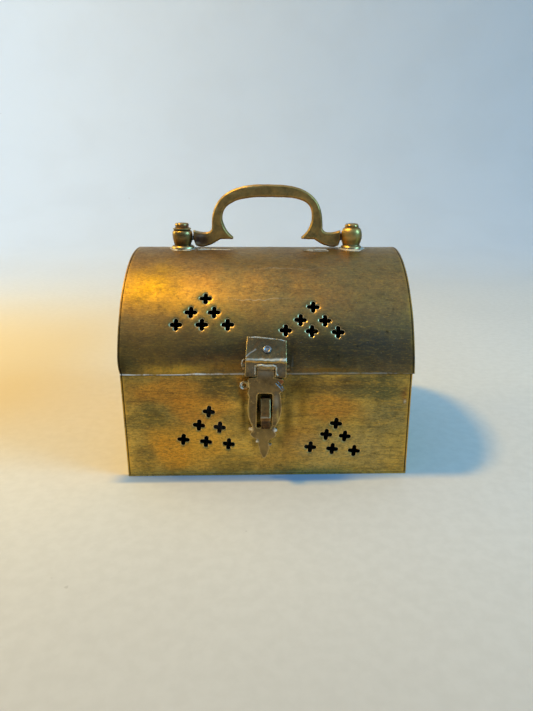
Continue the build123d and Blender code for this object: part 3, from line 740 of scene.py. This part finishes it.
# On the latch a patch is across, up, half width, half height in its own frame, strength, colour.
SILVER = (232, 232, 228)
LATCH_SPOTS = (
    # Painted highlight along the bracket's fold: a white line over a gold one.
    [(-6.4 + 2.2 * k, 3.3 + 0.03 * k, 1.5, 0.3, 0.9, (252, 240, 216)) for k in range(7)]
    + [(-7.0 + 2.3 * k, 2.65, 1.7, 0.25, 0.9, (240, 180, 84)) for k in range(7)]
    + [(-7.2 + 0.3 * k, 4.3 + 0.2 * k, 0.3, 0.11, 0.6, SILVER) for k in range(12)]
    + [
        # Painted shadows under the bracket's ears.
        (-5.7, -3.05, 2.3, 0.38, 1.0, (8, 6, 4)),
        (5.2, -3.1, 2.1, 0.38, 1.0, (8, 6, 4)),
        (-4.5, 0.2, 2.5, 2.2, 0.5, (120, 118, 112)),
        (5.0, 0.2, 2.5, 2.2, 0.5, (128, 126, 120)),
        (0.0, -2.0, 3.0, 1.4, 0.6, (134, 132, 124)),
        (0.0, -30.0, 4.5, 7.0, 0.5, (172, 144, 86)),
        (0.0, -8.0, 6.0, 2.0, 0.4, (150, 126, 82)),
        (0.5, 7.5, 9.0, 2.2, 0.45, (78, 68, 54)),
        (-7.3, -8.7, 0.9, 0.9, 0.8, (186, 126, 74)),
        # Painted highlight: the white crescent on the ear's ring.
        (-8.9, -6.6, 0.55, 1.3, 0.95, SILVER),
        (6.4, -5.0, 1.2, 0.9, 0.85, (150, 82, 50)),
        (4.3, -13.0, 0.9, 2.6, 0.6, (160, 160, 150)),
        # Gold lines down the belly's edges: partly worn edges, partly a painted highlight.
        (-6.0, -15.0, 0.45, 4.5, 0.7, (196, 168, 96)),
        (5.0, -19.0, 0.45, 3.0, 0.7, (196, 172, 104)),
        # Painted glints at the beads and below them.
        (-4.9, -24.1, 0.8, 0.7, 0.95, (240, 218, 178)),
        (4.4, -24.4, 0.65, 0.65, 0.95, (214, 230, 244)),
        (-2.5, -29.1, 0.55, 0.75, 0.9, (244, 238, 222)),
        (2.6, -30.4, 0.55, 0.8, 0.7, (140, 142, 150)),
    ]
)


def on_front(spots):
    """Patches of the latch's frame as x, z patches."""
    out = []
    for across, up, wide, tall, strength, paint in spots:
        centre = latch_point(across, up, 0.0)
        out.append((centre.x, centre.z, wide, tall, strength, paint))
    return out


# Post patches: red-brown caps, a darker left post and pale bands at both feet; the bright line under the left
# cap and the bright middle and left side of the right post are painted highlights and reflections.
POST_PATCHES = (
    (-33.0, 90.6, 4.0, 0.9, 0.85, (150, 100, 66)),
    (-33.0, 89.3, 4.5, 0.3, 0.8, (224, 188, 116)),
    (33.0, 90.8, 4.0, 0.8, 0.7, (140, 100, 64)),
    (32.6, 86.3, 4.2, 3.6, 0.9, (236, 188, 108)),
    (-33.0, 86.0, 4.2, 3.4, 0.6, (122, 100, 70)),
    (29.6, 87.0, 2.2, 3.0, 0.8, (228, 184, 92)),
    (33.0, 81.6, 5.5, 0.9, 0.6, (160, 150, 126)),
    (-33.0, 81.6, 5.5, 0.9, 0.6, (160, 150, 126)),
)
STAPLE_PATCHES = (
    # A painted highlight along the staple's nose, then painted shade on its lower face.
    (-0.9, 26.9, 2.0, 0.22, 0.85, (222, 204, 168)),
    (-0.7, 24.6, 1.1, 1.0, 0.75, (50, 42, 32)),
)
MATERIALS = {
    "body": sheet_brass("body_sheet", (228, 190, 94), (172, 150, 84), BODY_PATCHES, BODY_SHADES, rims=0.8),
    "lid": sheet_brass(
        "lid_sheet", (168, 138, 84), (142, 114, 76), LID_PATCHES, LID_SHADES, rough=0.42, lip=True
    ),
    "base": sheet_brass("base_sheet", (236, 194, 100), (206, 166, 84), (), rough=0.42, base=True),
    "pin": cast_brass("pin_bronze", (84, 66, 44), (52, 42, 30), (150, 120, 80)),
    "hinge": cast_brass("hinge_brass", (128, 106, 66), (76, 64, 46), (176, 144, 86), low=0.42, high=0.6),
    "handle": cast_brass(
        "handle_brass", (200, 160, 94), (146, 116, 70), (218, 176, 100), patches=HANDLE_PATCHES
    ),
    "post": cast_brass(
        "post_brass", (146, 120, 70), (92, 76, 50), (222, 184, 110), rough=0.37, patches=POST_PATCHES
    ),
    "latch": cast_brass(
        "latch_bronze", (124, 104, 72), (80, 66, 46), (224, 188, 118), rough=0.36, high=0.535,
        patches=on_front(LATCH_SPOTS),
    ),
    "staple": cast_brass(
        "staple_bronze", (138, 98, 54), (88, 62, 36), (196, 168, 118), rough=0.34, patches=STAPLE_PATCHES
    ),
    "steel": dull_steel("rivet_steel"),
    "silver": solder_metal("silver_solder", 0.6),
    "solder": solder_metal("pale_solder", 0.35),
}


def dress(piece, material, body=None, replaces=()):
    piece.data.materials.clear()
    piece.data.materials.append(MATERIALS[material])
    if body:
        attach(piece, body)
    if replaces:
        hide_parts(*replaces)
    return piece


# ---- body and lid sheets ----
def dent(u, v, seed):
    """Hand-beaten unevenness of a sheet, in millimetres."""
    broad = noise.noise(Vector((u / 21, v / 21, seed)))
    small = noise.noise(Vector((u / 6, v / 6, seed)))
    return 0.22 * broad + 0.07 * small


def unit(value):
    """A value kept within 0 and 1."""
    return min(1.0, max(0.0, value))


def fade(u, v, low_u, high_u, low_v, high_v):
    """0 at a sheet's borders and 1 well inside them."""
    return unit(min(u - low_u, high_u - u, v - low_v, high_v - v) / 6.0)


def tuck(y, z):
    """How far the lid's front left corner is bent in, from 0 to 1."""
    return unit((LIP_Z + 6.0 - z) / 6.0) ** 2 * unit((y + 40.0) / -7.0)


def rectangle(low_u, high_u, low_v, high_v):
    return [(low_u, low_v), (high_u, low_v), (high_u, high_v), (low_u, high_v)]


# Rows of holes are centre, height and pitch, from the row of three up to the single hole.
BODY_ROWS_LEFT = ((-23.4, 14.1, 8.55), (-21.9, 20.5, 7.75), (-21.9, 26.4, 0.0))
BODY_ROWS_RIGHT = ((24.6, 10.6, 8.45), (25.7, 16.3, 7.1), (25.8, 21.2, 0.0))
BODY_SPOTS = group(-6.8, BODY_ROWS_LEFT) + group(-5.8, BODY_ROWS_RIGHT)
LID_ROWS_LEFT = ((-23.8, 26.5, 9.4), (-23.7, 31.35, 8.5), (-22.8, 37.2, 0.0))
LID_ROWS_RIGHT = ((16.4, 23.9, 9.6), (16.8, 28.1, 9.0), (17.1, 33.5, 0.0))
LID_SPOTS = group(0.0, LID_ROWS_LEFT) + group(-2.2, LID_ROWS_RIGHT)
LID_BACK_SPOTS = group(0.0, LID_ROWS_LEFT, BACK_ARC) + group(-2.2, LID_ROWS_RIGHT, BACK_ARC)
END_SPOTS = group(0.0, ((0.0, 14.0, 9.0), (0.0, 20.0, 8.5), (0.0, 26.0, 0.0)))
LID_END_SPOTS = group(0.0, ((0.0, 52.0, 9.0), (0.0, 57.5, 8.5), (0.0, 63.0, 0.0)))
CORNER_TUCK = 0.9


def dress_wall(name, node, facing, seed):
    """The front wall, facing -1, or the back wall, facing 1; u runs to the right seen from outside."""
    low, high = box_mm(node)
    face = low.y if facing < 0 else high.y

    def place(u, v, depth):
        bulge = abs(dent(u, v, seed)) * fade(u, v, low.x, high.x, low.z, high.z)
        return (-facing * u, face - facing * depth - facing * bulge, v)

    sheet = pierced_sheet(name, rectangle(low.x, high.x, low.z, high.z), BODY_SPOTS, place)
    dress(sheet, "body", "body", [node])


def dress_ends(part, prefix, outline, spots, seed):
    """Both flat ends of the body or the lid; u runs to the right seen from outside."""
    low, high = box_mm(part + "_end_left")
    for side, hand in ((-1, "left"), (1, "right")):

        def place(u, v, depth):
            bulge = abs(dent(u, v, seed + side)) * fade(u, v, low.y, high.y, low.z, high.z)
            if part == "lid" and side < 0:
                bulge += tuck(side * u, v) * CORNER_TUCK
            return (side * (abs(low.x) - depth - bulge), side * u, v)

        sheet = pierced_sheet(prefix + hand, outline, spots, place)
        dress(sheet, part, part, [part + "_end_" + hand])


def place_vault(u, v, depth):
    angle = v / VAULT_R
    edge = fade(u, v, VAULT_LOW.x, VAULT_HIGH.x, LIP_ARC, BACK_ARC - LIP_ARC)
    r = VAULT_R - depth - abs(dent(u, v, 11.0)) * edge
    y = -r * cos(angle)
    z = VAULT_Z + r * sin(angle)
    return (u + CORNER_TUCK * tuck(y, z) * unit((-u - 44.0) / 8.0), y, z)


def vault_arc(count=64):
    """Outline of the lid's end: the vault's arc from lip to lip."""
    points = []
    for i in range(count + 1):
        turn = LIP_ANGLE + (pi - 2 * LIP_ANGLE) * i / count
        points.append((VAULT_R * cos(turn), VAULT_Z + VAULT_R * sin(turn)))
    return points


dress_wall("wall_front", "body_front", -1, 1.0)
dress_wall("wall_back", "body_back", 1, 5.0)
dress_ends("body", "wall_", rectangle(END_LOW.y, END_HIGH.y, END_LOW.z, END_HIGH.z), END_SPOTS, 7.0)
vault_sheet = rectangle(VAULT_LOW.x, VAULT_HIGH.x, LIP_ARC, BACK_ARC - LIP_ARC)
vault = pierced_sheet("vault_skin", vault_sheet, LID_SPOTS + LID_BACK_SPOTS, place_vault)
dress(vault, "lid", "lid", ["lid_vault"])
dress_ends("lid", "lid_cheek_", vault_arc(), LID_END_SPOTS, 17.0)

# ---- handle ----
HANDLE_LOW, HANDLE_HIGH = box_mm("handle")
HANDLE_Y = (HANDLE_LOW.y + HANDLE_HIGH.y) / 2
BAIL_TOP = HANDLE_HIGH.z
BAIL_HALF = 22.9
BAIL_THICK = 5.0
OPENING_HALF = 18.4
ARCH_DEPTH = 17.5
OPENING_DEPTH = 14.1
BEVEL = 0.7
BEVEL_INSET = 0.42
# Corners of the foot and the points that pull its curves, as x and depth below the bail's top.
FLARE_PULL = (23.9, 20.4)
FOOT_TOP = (30.5, 18.2)
FOOT_SIDE = (30.8, 21.1)
FOOT_END = (29.8, 24.5)
SOLE_PULL = (25.5, 26.3)
SOLE_START = (19.4, 21.85)
SPUR_LOW = (14.1, 21.85)
SPUR = (14.1, 21.0)
THROAT_PULL = (17.6, 18.5)


def hang(point):
    """A point of the bail from its x and its depth below the top."""
    return (point[0], BAIL_TOP - point[1])


def half_bail(outer_power, inner_power):
    """The bail's right half, from the top of its outside round the foot to the top of its opening."""
    crown = arch(BAIL_HALF, BAIL_TOP - ARCH_DEPTH, BAIL_TOP, outer_power)
    opening = arch(OPENING_HALF, BAIL_TOP - OPENING_DEPTH, BAIL_TOP - BAIL_THICK, inner_power)
    flare = bend(crown[0], hang(FLARE_PULL), hang(FOOT_TOP))
    sole = bend(hang(FOOT_END), hang(SOLE_PULL), hang(SOLE_START))
    throat = bend(hang(SPUR), hang(THROAT_PULL), opening[0])
    return crown[::-1] + flare[1:] + [hang(FOOT_SIDE)] + sole + [hang(SPUR_LOW)] + throat + opening[1:]


def lift_handle(u, v, w):
    return (u, HANDLE_Y + w, v)


left_half = [(-x, z) for x, z in half_bail(2.55, 2.6)]
bail = half_bail(2.8, 3.5) + left_half[::-1][1:-1]
bail_y = (HANDLE_HIGH.y - HANDLE_LOW.y) / 2
wide = prism(bail, [], lift_handle, -bail_y + BEVEL, bail_y - BEVEL)
deep = prism(inset(bail, BEVEL_INSET), [], lift_handle, -bail_y, bail_y)
handle = casting("bail_handle", [wide, deep], voxel=0.26, smoothing=3, rough=0.1, grain=3.0, seed=2.0)
dress(handle, "handle", "handle", ["handle"])

# ---- posts and solder ----
# Profiles of the posts, as radius and height: foot, column, ball, collar and cap.
POST_LEFT = [
    (0.01, 80.6), (4.7, 80.6), (4.85, 81.3), (4.7, 82.2), (4.0, 82.6), (3.4, 82.8),
    (3.5, 83.3), (3.9, 84.4), (4.15, 85.8), (4.15, 87.0), (3.95, 88.1), (3.65, 88.6),
    (3.2, 88.75), (3.3, 88.95), (3.7, 89.1), (3.7, 89.5), (3.1, 89.75), (2.7, 90.0),
    (2.8, 90.6), (2.75, 91.3), (2.3, 91.65), (1.2, 91.75), (0.01, 91.7),
]
POST_RIGHT = [
    (0.01, 80.6), (4.4, 80.6), (4.55, 81.5), (4.3, 82.3), (3.7, 82.6), (3.5, 83.0),
    (4.0, 84.2), (4.4, 85.6), (4.45, 87.0), (4.2, 88.4), (3.7, 89.5), (3.1, 89.9),
    (2.85, 90.05), (2.95, 90.4), (2.85, 91.0), (2.3, 91.5), (1.1, 91.7), (0.01, 91.6),
]
POST_LEAN = 0.012
SOLDER_R = 4.2
SOLDER_SINK = 0.02


def vault_z(y):
    """Height of the lid's outer surface."""
    return VAULT_Z + sqrt(VAULT_R**2 - y * y)


def solder_ring(name, centre, seed, around=72, across=7):
    """An uneven skirt of solder on the lid around a post's foot."""
    verts, faces = [], []
    for k in range(around):
        a = 2 * pi * k / around
        n = 0.5 + noise.noise(Vector((cos(a) * 1.4, sin(a) * 1.4, seed)))
        for j in range(across):
            t = j / (across - 1)
            r = SOLDER_R + (1.1 + 1.1 * n) * t
            x, y = centre[0] + r * cos(a), centre[1] + r * sin(a)
            verts.append((x, y, vault_z(y) + 0.45 * (1 - t) ** 1.6 * (0.7 + 0.6 * n) - SOLDER_SINK))
    for k in range(around):
        for j in range(across - 1):
            a, b = k * across + j, ((k + 1) % around) * across + j
            faces.append((a, b, b + 1, a + 1))
    ring = new_object(name, verts, faces, 80.0)
    thick = ring.modifiers.new("thick", "SOLIDIFY")
    thick.thickness = 0.1 * MM
    return ring


for side, hand, profile in ((-1, "left", POST_LEFT), (1, "right", POST_RIGHT)):
    low, high = box_mm("handle_post_" + hand)
    centre = ((low.x + high.x) / 2, (low.y + high.y) / 2)
    points, faces = revolved(profile, centre, 56, POST_LEAN * side, side * 2.0)
    post = new_object("post_" + hand, points, faces, 60.0)
    dress(post, "post", "lid", ["handle_post_" + hand])
    dress(solder_ring("solder_" + hand, centre, side * 3.0), "solder", "lid", ())

# Runs of solder on the lid, by number, as points from above, each with its own radius.
STREAKS = {
    0: [
        (-28.6, -5.4, 0.5), (-25.0, -4.9, 0.42), (-21.0, -5.2, 0.3), (-17.0, -5.5, 0.24), (-13.2, -5.9, 0.12)
    ],
    2: [(15.0, -6.2, 0.2), (17.5, -5.3, 0.28), (20.5, -5.0, 0.28), (25.5, -5.2, 0.34)],
    3: [(15.0, -6.4, 0.18), (18.0, -7.2, 0.24), (21.5, -7.4, 0.22), (26.0, -6.9, 0.28)],
}
STREAK_STEPS = 5
for number, path in STREAKS.items():
    order = number - 1
    dense, thick = [], []
    for start, end in zip(path, path[1:]):
        for k in range(STREAK_STEPS):
            x, y, radius = (a + (b - a) * k / STREAK_STEPS for a, b in zip(start, end))
            y += 0.25 * noise.noise(Vector((x * 0.9, order * 4.0, 0.0)))
            dense.append((x, y, vault_z(y) - SOLDER_SINK))
            thick.append(radius * (1 + 0.5 * noise.noise(Vector((x * 1.7, order * 9.0, 3.0)))))
    streak = new_object("solder_streak_%d" % number, *worm(dense, thick), 80.0)
    dress(streak, "solder", "lid", ())

# ---- latch ----
def side_lift(u, v, w):
    """u is outward, v up, w across."""
    return latch_point(w, v, u)


def bracket_lift(u, v, w):
    """u is outward, v up, w across; the casting leans more askew towards its top."""
    rise = max(0.0, v + 3.0)
    lean = 0.012 * min(12.0, rise) - 0.0004 * rise**2
    return latch_point(w * (1 - 0.004 * max(0.0, v)), v - w * lean, u)


def face_lift(u, v, w):
    """u is across, v up, w outward."""
    return latch_point(u, v, w)


def disc(u, v, r, count):
    return [(u + r * cos(2 * pi * k / count), v + r * sin(2 * pi * k / count)) for k in range(count)]


BRACKET_HALF = 7.5
NOTCH_HALF = 3.35
NOTCH_OVERLAP = 0.3
CHEEK = [(-3.65, 9.7), (2.35, 3.0), (2.4, -3.1), (-1.5, -3.1), (-2.2, 0.0), (-4.6, 6.0), (-5.4, 8.4)]
BRIDGE = CHEEK[:2] + [(2.4, 0.55), (-1.0, 0.55), (-1.9, 1.5)] + CHEEK[5:]
bracket = casting(
    "latch_bracket",
    [
        prism(CHEEK, [], bracket_lift, -BRACKET_HALF, -NOTCH_HALF),
        prism(CHEEK, [], bracket_lift, NOTCH_HALF, BRACKET_HALF),
        prism(BRIDGE, [], bracket_lift, -NOTCH_HALF - NOTCH_OVERLAP, NOTCH_HALF + NOTCH_OVERLAP),
    ],
    voxel=0.2, smoothing=3, rough=0.06, grain=1.3, seed=4.0,
)
dress(bracket, "latch", "lid", ["hasp_bracket"])

# The hasp's edges, across and up from its pin: down the right side, then up the left.
RIGHT_EDGE = [
    (3.2, 0.2), (3.2, -3.7), (5.9, -4.1), (6.6, -4.6), (6.5, -5.6), (6.1, -6.3), (6.6, -7.4),
    (6.75, -8.4), (6.2, -9.2), (5.5, -9.7), (5.75, -10.6), (6.0, -12.4), (6.25, -14.5),
    (6.3, -16.6), (6.05, -18.6), (5.5, -20.6), (4.7, -22.3), (4.1, -23.6), (4.2, -25.2),
    (4.8, -26.2), (4.3, -27.2), (3.0, -28.0), (2.1, -28.7), (2.0, -29.9), (2.3, -31.9),
    (1.9, -33.8), (1.3, -35.2), (0.7, -36.1),
]
LEFT_EDGE = [
    (0.1, -36.1), (-0.5, -35.2), (-1.2, -33.7), (-1.6, -32.0), (-2.0, -30.6), (-1.9, -29.2),
    (-2.8, -28.2), (-3.9, -27.8), (-4.9, -27.0), (-5.2, -26.0), (-4.5, -24.9), (-4.4, -23.2),
    (-5.3, -21.2), (-5.95, -19.1), (-6.3, -16.5), (-6.2, -14.0), (-5.9, -11.5), (-6.5, -10.1),
    (-6.2, -8.9), (-5.9, -8.0), (-6.2, -6.4), (-6.5, -5.0), (-5.9, -4.1), (-3.2, -3.7), (-3.2, 0.2),
]
PLATE = RIGHT_EDGE + LEFT_EDGE
SLOT = [
    (-2.4, -23.6), (2.4, -23.6), (2.75, -23.2), (2.75, -10.5),
    (2.2, -10.05), (-2.2, -10.05), (-2.75, -10.6), (-2.75, -23.2),
]
EAR = (-7.6, -7.0)
BEADS = ((4.4, -24.4, 0.66), (-5.0, -24.1, 0.8), (2.6, -30.4, 0.5), (-2.4, -29.1, 0.55))
hasp = casting(
    "hasp",
    [
        prism(PLATE, [SLOT], face_lift, -0.38, 0.78),
        prism(disc(*EAR, 1.6, 24), [disc(*EAR, 0.78, 16)], face_lift, -0.3, 0.75),
        prism(disc(0.0, 0.0, 1.45, 24), [], side_lift, -3.15, 3.15),
    ]
    + [prism(disc(u, v, r, 14), [], face_lift, -0.3, 0.95) for u, v, r in BEADS],
    voxel=0.17, smoothing=2, rough=0.045, grain=1.2, seed=7.0,
)
mark_edges(hasp, [PLATE, SLOT], lambda p: ((p - PIN).dot(RIGHT), (p - PIN).dot(UP)), 0.3)
dress(hasp, "latch", "hasp", ["hasp_plate"])

# The bracket's rivet, as radius and height: its inner head, its shank, and its peened head
# with a ring and a dimple. It stands square to the bracket's sloping face.
RIVET = [
    (0.01, -5.2), (1.45, -5.1), (1.5, -4.6), (0.9, -4.5), (0.9, 0.0), (1.5, 0.02), (1.56, 0.25),
    (1.45, 0.4), (1.2, 0.46), (1.0, 0.4), (0.85, 0.28), (0.6, 0.24), (0.3, 0.3), (0.01, 0.34),
]
rivet_spot = latch_point(0.25, 6.35, -0.65)
rivet_out = (OUT * 6.7 + UP * 6.0).normalized()
rivet_up = RIGHT.cross(rivet_out) * -1.0
points, faces = revolved(RIVET, (0.0, 0.0), 32, 0.0, 5.0)
points = [rivet_spot + RIGHT * x + rivet_up * y + rivet_out * z for x, y, z in points]
rivet = new_object("bracket_rivet_head", points, faces, 50.0)
dress(rivet, "steel", "lid", ["bracket_rivet"])

# Runs of solder, as points across, up and out from the pin, each with its own radius.
BRACKET_RUNS = (
    [
        (-6.6, 9.75, -3.6, 0.26), (-4.0, 9.95, -3.8, 0.34), (-1.0, 9.8, -3.7, 0.26),
        (2.0, 9.6, -3.7, 0.22), (5.0, 9.3, -3.6, 0.3), (7.0, 8.9, -3.6, 0.2),
    ],
    [
        (-4.1, 0.9, 2.3, 0.24), (-3.0, 1.35, 2.35, 0.36), (-1.4, 1.55, 2.35, 0.4),
        (-0.4, 1.3, 2.4, 0.42), (1.0, 1.35, 2.35, 0.4), (2.6, 1.5, 2.3, 0.36), (3.7, 1.1, 2.3, 0.26),
    ],
    [(3.8, 0.9, 2.3, 0.3), (3.75, -0.6, 2.35, 0.26), (3.9, -1.7, 2.35, 0.28), (4.5, -2.4, 2.3, 0.3)],
    [(-3.9, 0.6, 2.3, 0.2), (-3.85, -1.0, 2.3, 0.2), (-3.9, -2.3, 2.25, 0.15)],
    [
        (-7.9, 3.0, 0.8, 0.22), (-8.45, 2.4, 0.8, 0.3), (-8.7, 1.4, 0.8, 0.34),
        (-8.5, 0.5, 0.8, 0.3), (-8.0, -0.2, 0.8, 0.2),
    ],
)
# A pale crescent bead on the ear's ring, in the silver solder material: a painted highlight built as a piece.
CRESCENT_RUNS = (
    [
        (-8.2, -5.6, 0.75, 0.18), (-8.95, -6.2, 0.8, 0.3), (-9.15, -7.1, 0.8, 0.34),
        (-8.7, -8.0, 0.8, 0.3), (-7.9, -8.4, 0.75, 0.18),
    ],
)
SCROLL_RUNS = (
    [(3.6, -5.7, 0.8, 0.2), (4.8, -6.9, 0.9, 0.32), (5.7, -8.0, 0.85, 0.32), (6.3, -9.0, 0.75, 0.26)],
    [(4.3, -5.1, 0.7, 0.16), (5.4, -6.3, 0.8, 0.26), (6.3, -7.5, 0.75, 0.26), (6.8, -8.4, 0.7, 0.2)],
)


def add_runs(name, runs, material, body, rough, seed):
    """Solder runs fused into one piece."""
    worms = [worm([latch_point(*p[:3]) for p in run], [p[3] for p in run]) for run in runs]
    piece = casting(name, worms, voxel=0.1, smoothing=2, rough=rough, grain=0.6, seed=seed)
    dress(piece, material, body, ())


add_runs("bracket_solder", BRACKET_RUNS, "silver", "lid", 0.05, 3.0)
add_runs("hasp_scroll", SCROLL_RUNS, "steel", "hasp", 0.05, 6.0)
add_runs("ear_crescent", CRESCENT_RUNS, "silver", "hasp", 0.04, 8.0)

# The staple's side, as distance in front of the chest's middle and height.
STAPLE_LOW, STAPLE_HIGH = box_mm("staple")
STAPLE_X = (STAPLE_LOW.x + STAPLE_HIGH.x) / 2
STAPLE_HALF = 1.8
ROOT = -FRONT_LOW.y - 0.3
STAPLE_SIDE = [(ROOT, 21.0), (ROOT, 32.6), (48.9, 32.7), (53.2, 26.9), (53.2, 25.7), (49.0, 20.5)]
EYE = (50.65, 26.6, 1.4)


def staple_lift(u, v, w):
    """u is outward, v up, w across."""
    return (STAPLE_X + w, -u, v)


loop = prism(STAPLE_SIDE, [disc(*EYE, 20)], staple_lift, -STAPLE_HALF, STAPLE_HALF)
staple = casting("staple_loop", [loop], voxel=0.16, smoothing=2, rough=0.05, grain=1.1, seed=9.0)
sides = [[(x, 0.0), (x, 60.0)] for x in (-STAPLE_HALF, STAPLE_HALF)]
mark_edges(staple, sides, lambda p: (p.x - STAPLE_X, p.z), 0.22)
dress(staple, "staple", "body", ["staple"])

# ---- CAD nodes that stay, with softened edges ----
KEPT = {
    "base": ["base_plate"],
    "hinge": ["hinge_body_rivets", "hinge_lid_rivets", "post_washers", "staple_washer"]
    + ["hinge_%s_%s_leaf" % (hand, level) for hand in ("left", "right") for level in ("lower", "upper")],
    "steel": ["hinge_left_pin", "hinge_right_pin", "handle_pivot_left", "handle_pivot_right"],
    "pin": ["hasp_pin"],
}
for material, names in KEPT.items():
    for name in names:
        node = dress(frame["nodes"][name], material)
        soften = node.modifiers.new("soften", "BEVEL")
        soften.width = 0.15 * MM
        soften.segments = 2
        soften.limit_method = "ANGLE"
        soften.angle_limit = radians(40)

# ---- stage, light and camera ----
# The floor's section in millimetres: flat under the chest, then curving up into a wall behind.
FLOOR_HALF = 900
FLOOR_SECTION = [
    (-700, 0), (-200, 0), (0, 0), (200, 0), (420, 0), (560, 18),
    (660, 70), (720, 150), (750, 260), (760, 420), (760, 900),
]
floor_verts = [(x, y, z) for y, z in FLOOR_SECTION for x in (-FLOOR_HALF, FLOOR_HALF)]
floor_faces = [(a, a + 1, a + 3, a + 2) for a in range(0, len(floor_verts) - 2, 2)]
floor = new_object("floor", floor_verts, floor_faces, 180.0)


def paper_material():
    """Pale paper with painted light: darker in front as painted shade, cooler far behind as painted cool
    light, a painted warm glow on the left and a blue painted shadow strip along the chest's foot.

    Its colours are linear ones, and its places are in metres.
    """
    s = Shader("floor_paper")
    grain = s.noise(240.0, 5.0)
    colour = s.mix(s.span(grain, 0.3, 0.7), (0.66, 0.64, 0.59, 1.0), (0.70, 0.68, 0.63, 1.0))
    # Painted shade: darker towards the front.
    colour = s.mix(s.along("Y", -0.20, -0.05, 0.5, 0.0), colour, (0.40, 0.37, 0.33, 1.0))
    # Painted cool light: a bluer tint far behind.
    colour = s.mix(s.along("Y", 0.25, 0.6), colour, (0.69, 0.735, 0.775, 1.0))
    # A blue painted shadow strip on the floor, just in front of the chest's foot.
    streak = s.times(s.along("Y", -0.0525, -0.0500), s.along("X", -0.062, -0.052))
    streak = s.times(streak, s.along("X", 0.02, 0.054, 1.0, 0.0))
    streak = s.times(streak, s.along("Y", -0.046, -0.044, 0.85, 0.0))
    colour = s.mix(streak, colour, (0.20, 0.32, 0.52, 1.0))
    flecks = s.noise(95.0, 3.0, 0.8, shift=5.0)
    colour = s.cover(colour, (0.34, 0.31, 0.27, 1.0), flecks, 0.73, 0.77, 0.0, 0.35)
    clouds = s.noise(14.0, 3.0, 0.5, shift=9.0)
    colour = s.cover(colour, (0.44, 0.42, 0.38, 1.0), clouds, 0.4, 0.65, 0.0, 0.05)
    # A painted warm glow of light on the floor to the left.
    glow = s.times(s.along("Y", -0.06, 0.04), s.along("Y", 0.12, 0.34, 1.0, 0.0))
    glow = s.times(s.along("X", -0.15, -0.035, 0.8, 0.0), glow)
    colour = s.mix(glow, colour, (0.66, 0.50, 0.26, 1.0))
    s.bump(grain, 0.08, 0.2)
    return s.finish(colour, 0.8, 0.0)


floor.data.materials.append(paper_material())


def area_light(name, spot, target, size, power, colour):
    lamp = bpy.data.lights.new(name, "AREA")
    lamp.shape = "RECTANGLE"
    lamp.size = lamp.size_y = size
    lamp.energy = power
    lamp.color = colour
    holder = bpy.data.objects.new(name, lamp)
    holder.location = Vector(spot)
    aim = (Vector(target) - Vector(spot)).normalized()
    holder.rotation_euler = aim.to_track_quat("-Z", "Y").to_euler()
    scene.collection.objects.link(holder)


# Places and sizes are in metres, powers in watts.
area_light("warm_key", (-0.39, -0.03, 0.87), (0, 0, 0.03), 0.11, 5.6, (1.0, 0.60, 0.08))
area_light("cool_side", (0.74, -0.30, 0.50), (0, 0, 0.04), 0.40, 4.6, (0.22, 0.65, 1.10))
area_light("left_glow", (-0.34, 0.10, 0.20), (-0.15, 0.02, 0.0), 0.20, 0.45, (1.0, 0.78, 0.22))
area_light("back_wash", (-0.55, 0.22, 0.42), (-0.45, 0.78, 0.32), 0.30, 2.0, (0.78, 0.9, 1.0))

world = bpy.data.worlds.new("studio")
world.use_nodes = True
sky = world.node_tree
background = sky.nodes["Background"]
direction = sky.nodes.new("ShaderNodeTexCoord")
split = sky.nodes.new("ShaderNodeSeparateXYZ")
sky.links.new(direction.outputs["Generated"], split.inputs[0])
# The sky brightens upwards.
lift = sky.nodes.new("ShaderNodeMapRange")
lift.interpolation_type = "SMOOTHSTEP"
for i, value in enumerate((0.0, 0.25, 0.85, 0.15, 0.66)):
    lift.inputs[i].default_value = value
sky.links.new(split.outputs["Z"], lift.inputs[0])
sky.links.new(lift.outputs[0], background.inputs["Strength"])
background.inputs["Color"].default_value = (0.52, 0.78, 1.04, 1.0)
scene.world = world
scene.view_settings.view_transform = "Standard"

CAMERA_PLACE = Vector((0.00183, -0.24497, 0.11075))
CAMERA_LENS = 29.114
CAMERA_SHIFT = -0.0331
yaw, pitch, roll = radians(1.8546), radians(17.437), radians(0.2829)
forward = Vector((sin(yaw) * cos(pitch), cos(yaw) * cos(pitch), -sin(pitch)))
level = Vector((cos(yaw), -sin(yaw), 0.0))
right = level * cos(roll) + level.cross(forward) * sin(roll)
turned = Matrix((right, right.cross(forward), -forward)).transposed().to_4x4()
camera_data = bpy.data.cameras.new("camera")
camera_data.sensor_width = 36.0
camera_data.lens = CAMERA_LENS
camera_data.shift_x = CAMERA_SHIFT
camera_data.clip_start = 0.005
camera = bpy.data.objects.new("camera", camera_data)
camera.matrix_world = Matrix.Translation(CAMERA_PLACE) @ turned
scene.collection.objects.link(camera)
scene.camera = camera

bpy.context.view_layer.update()
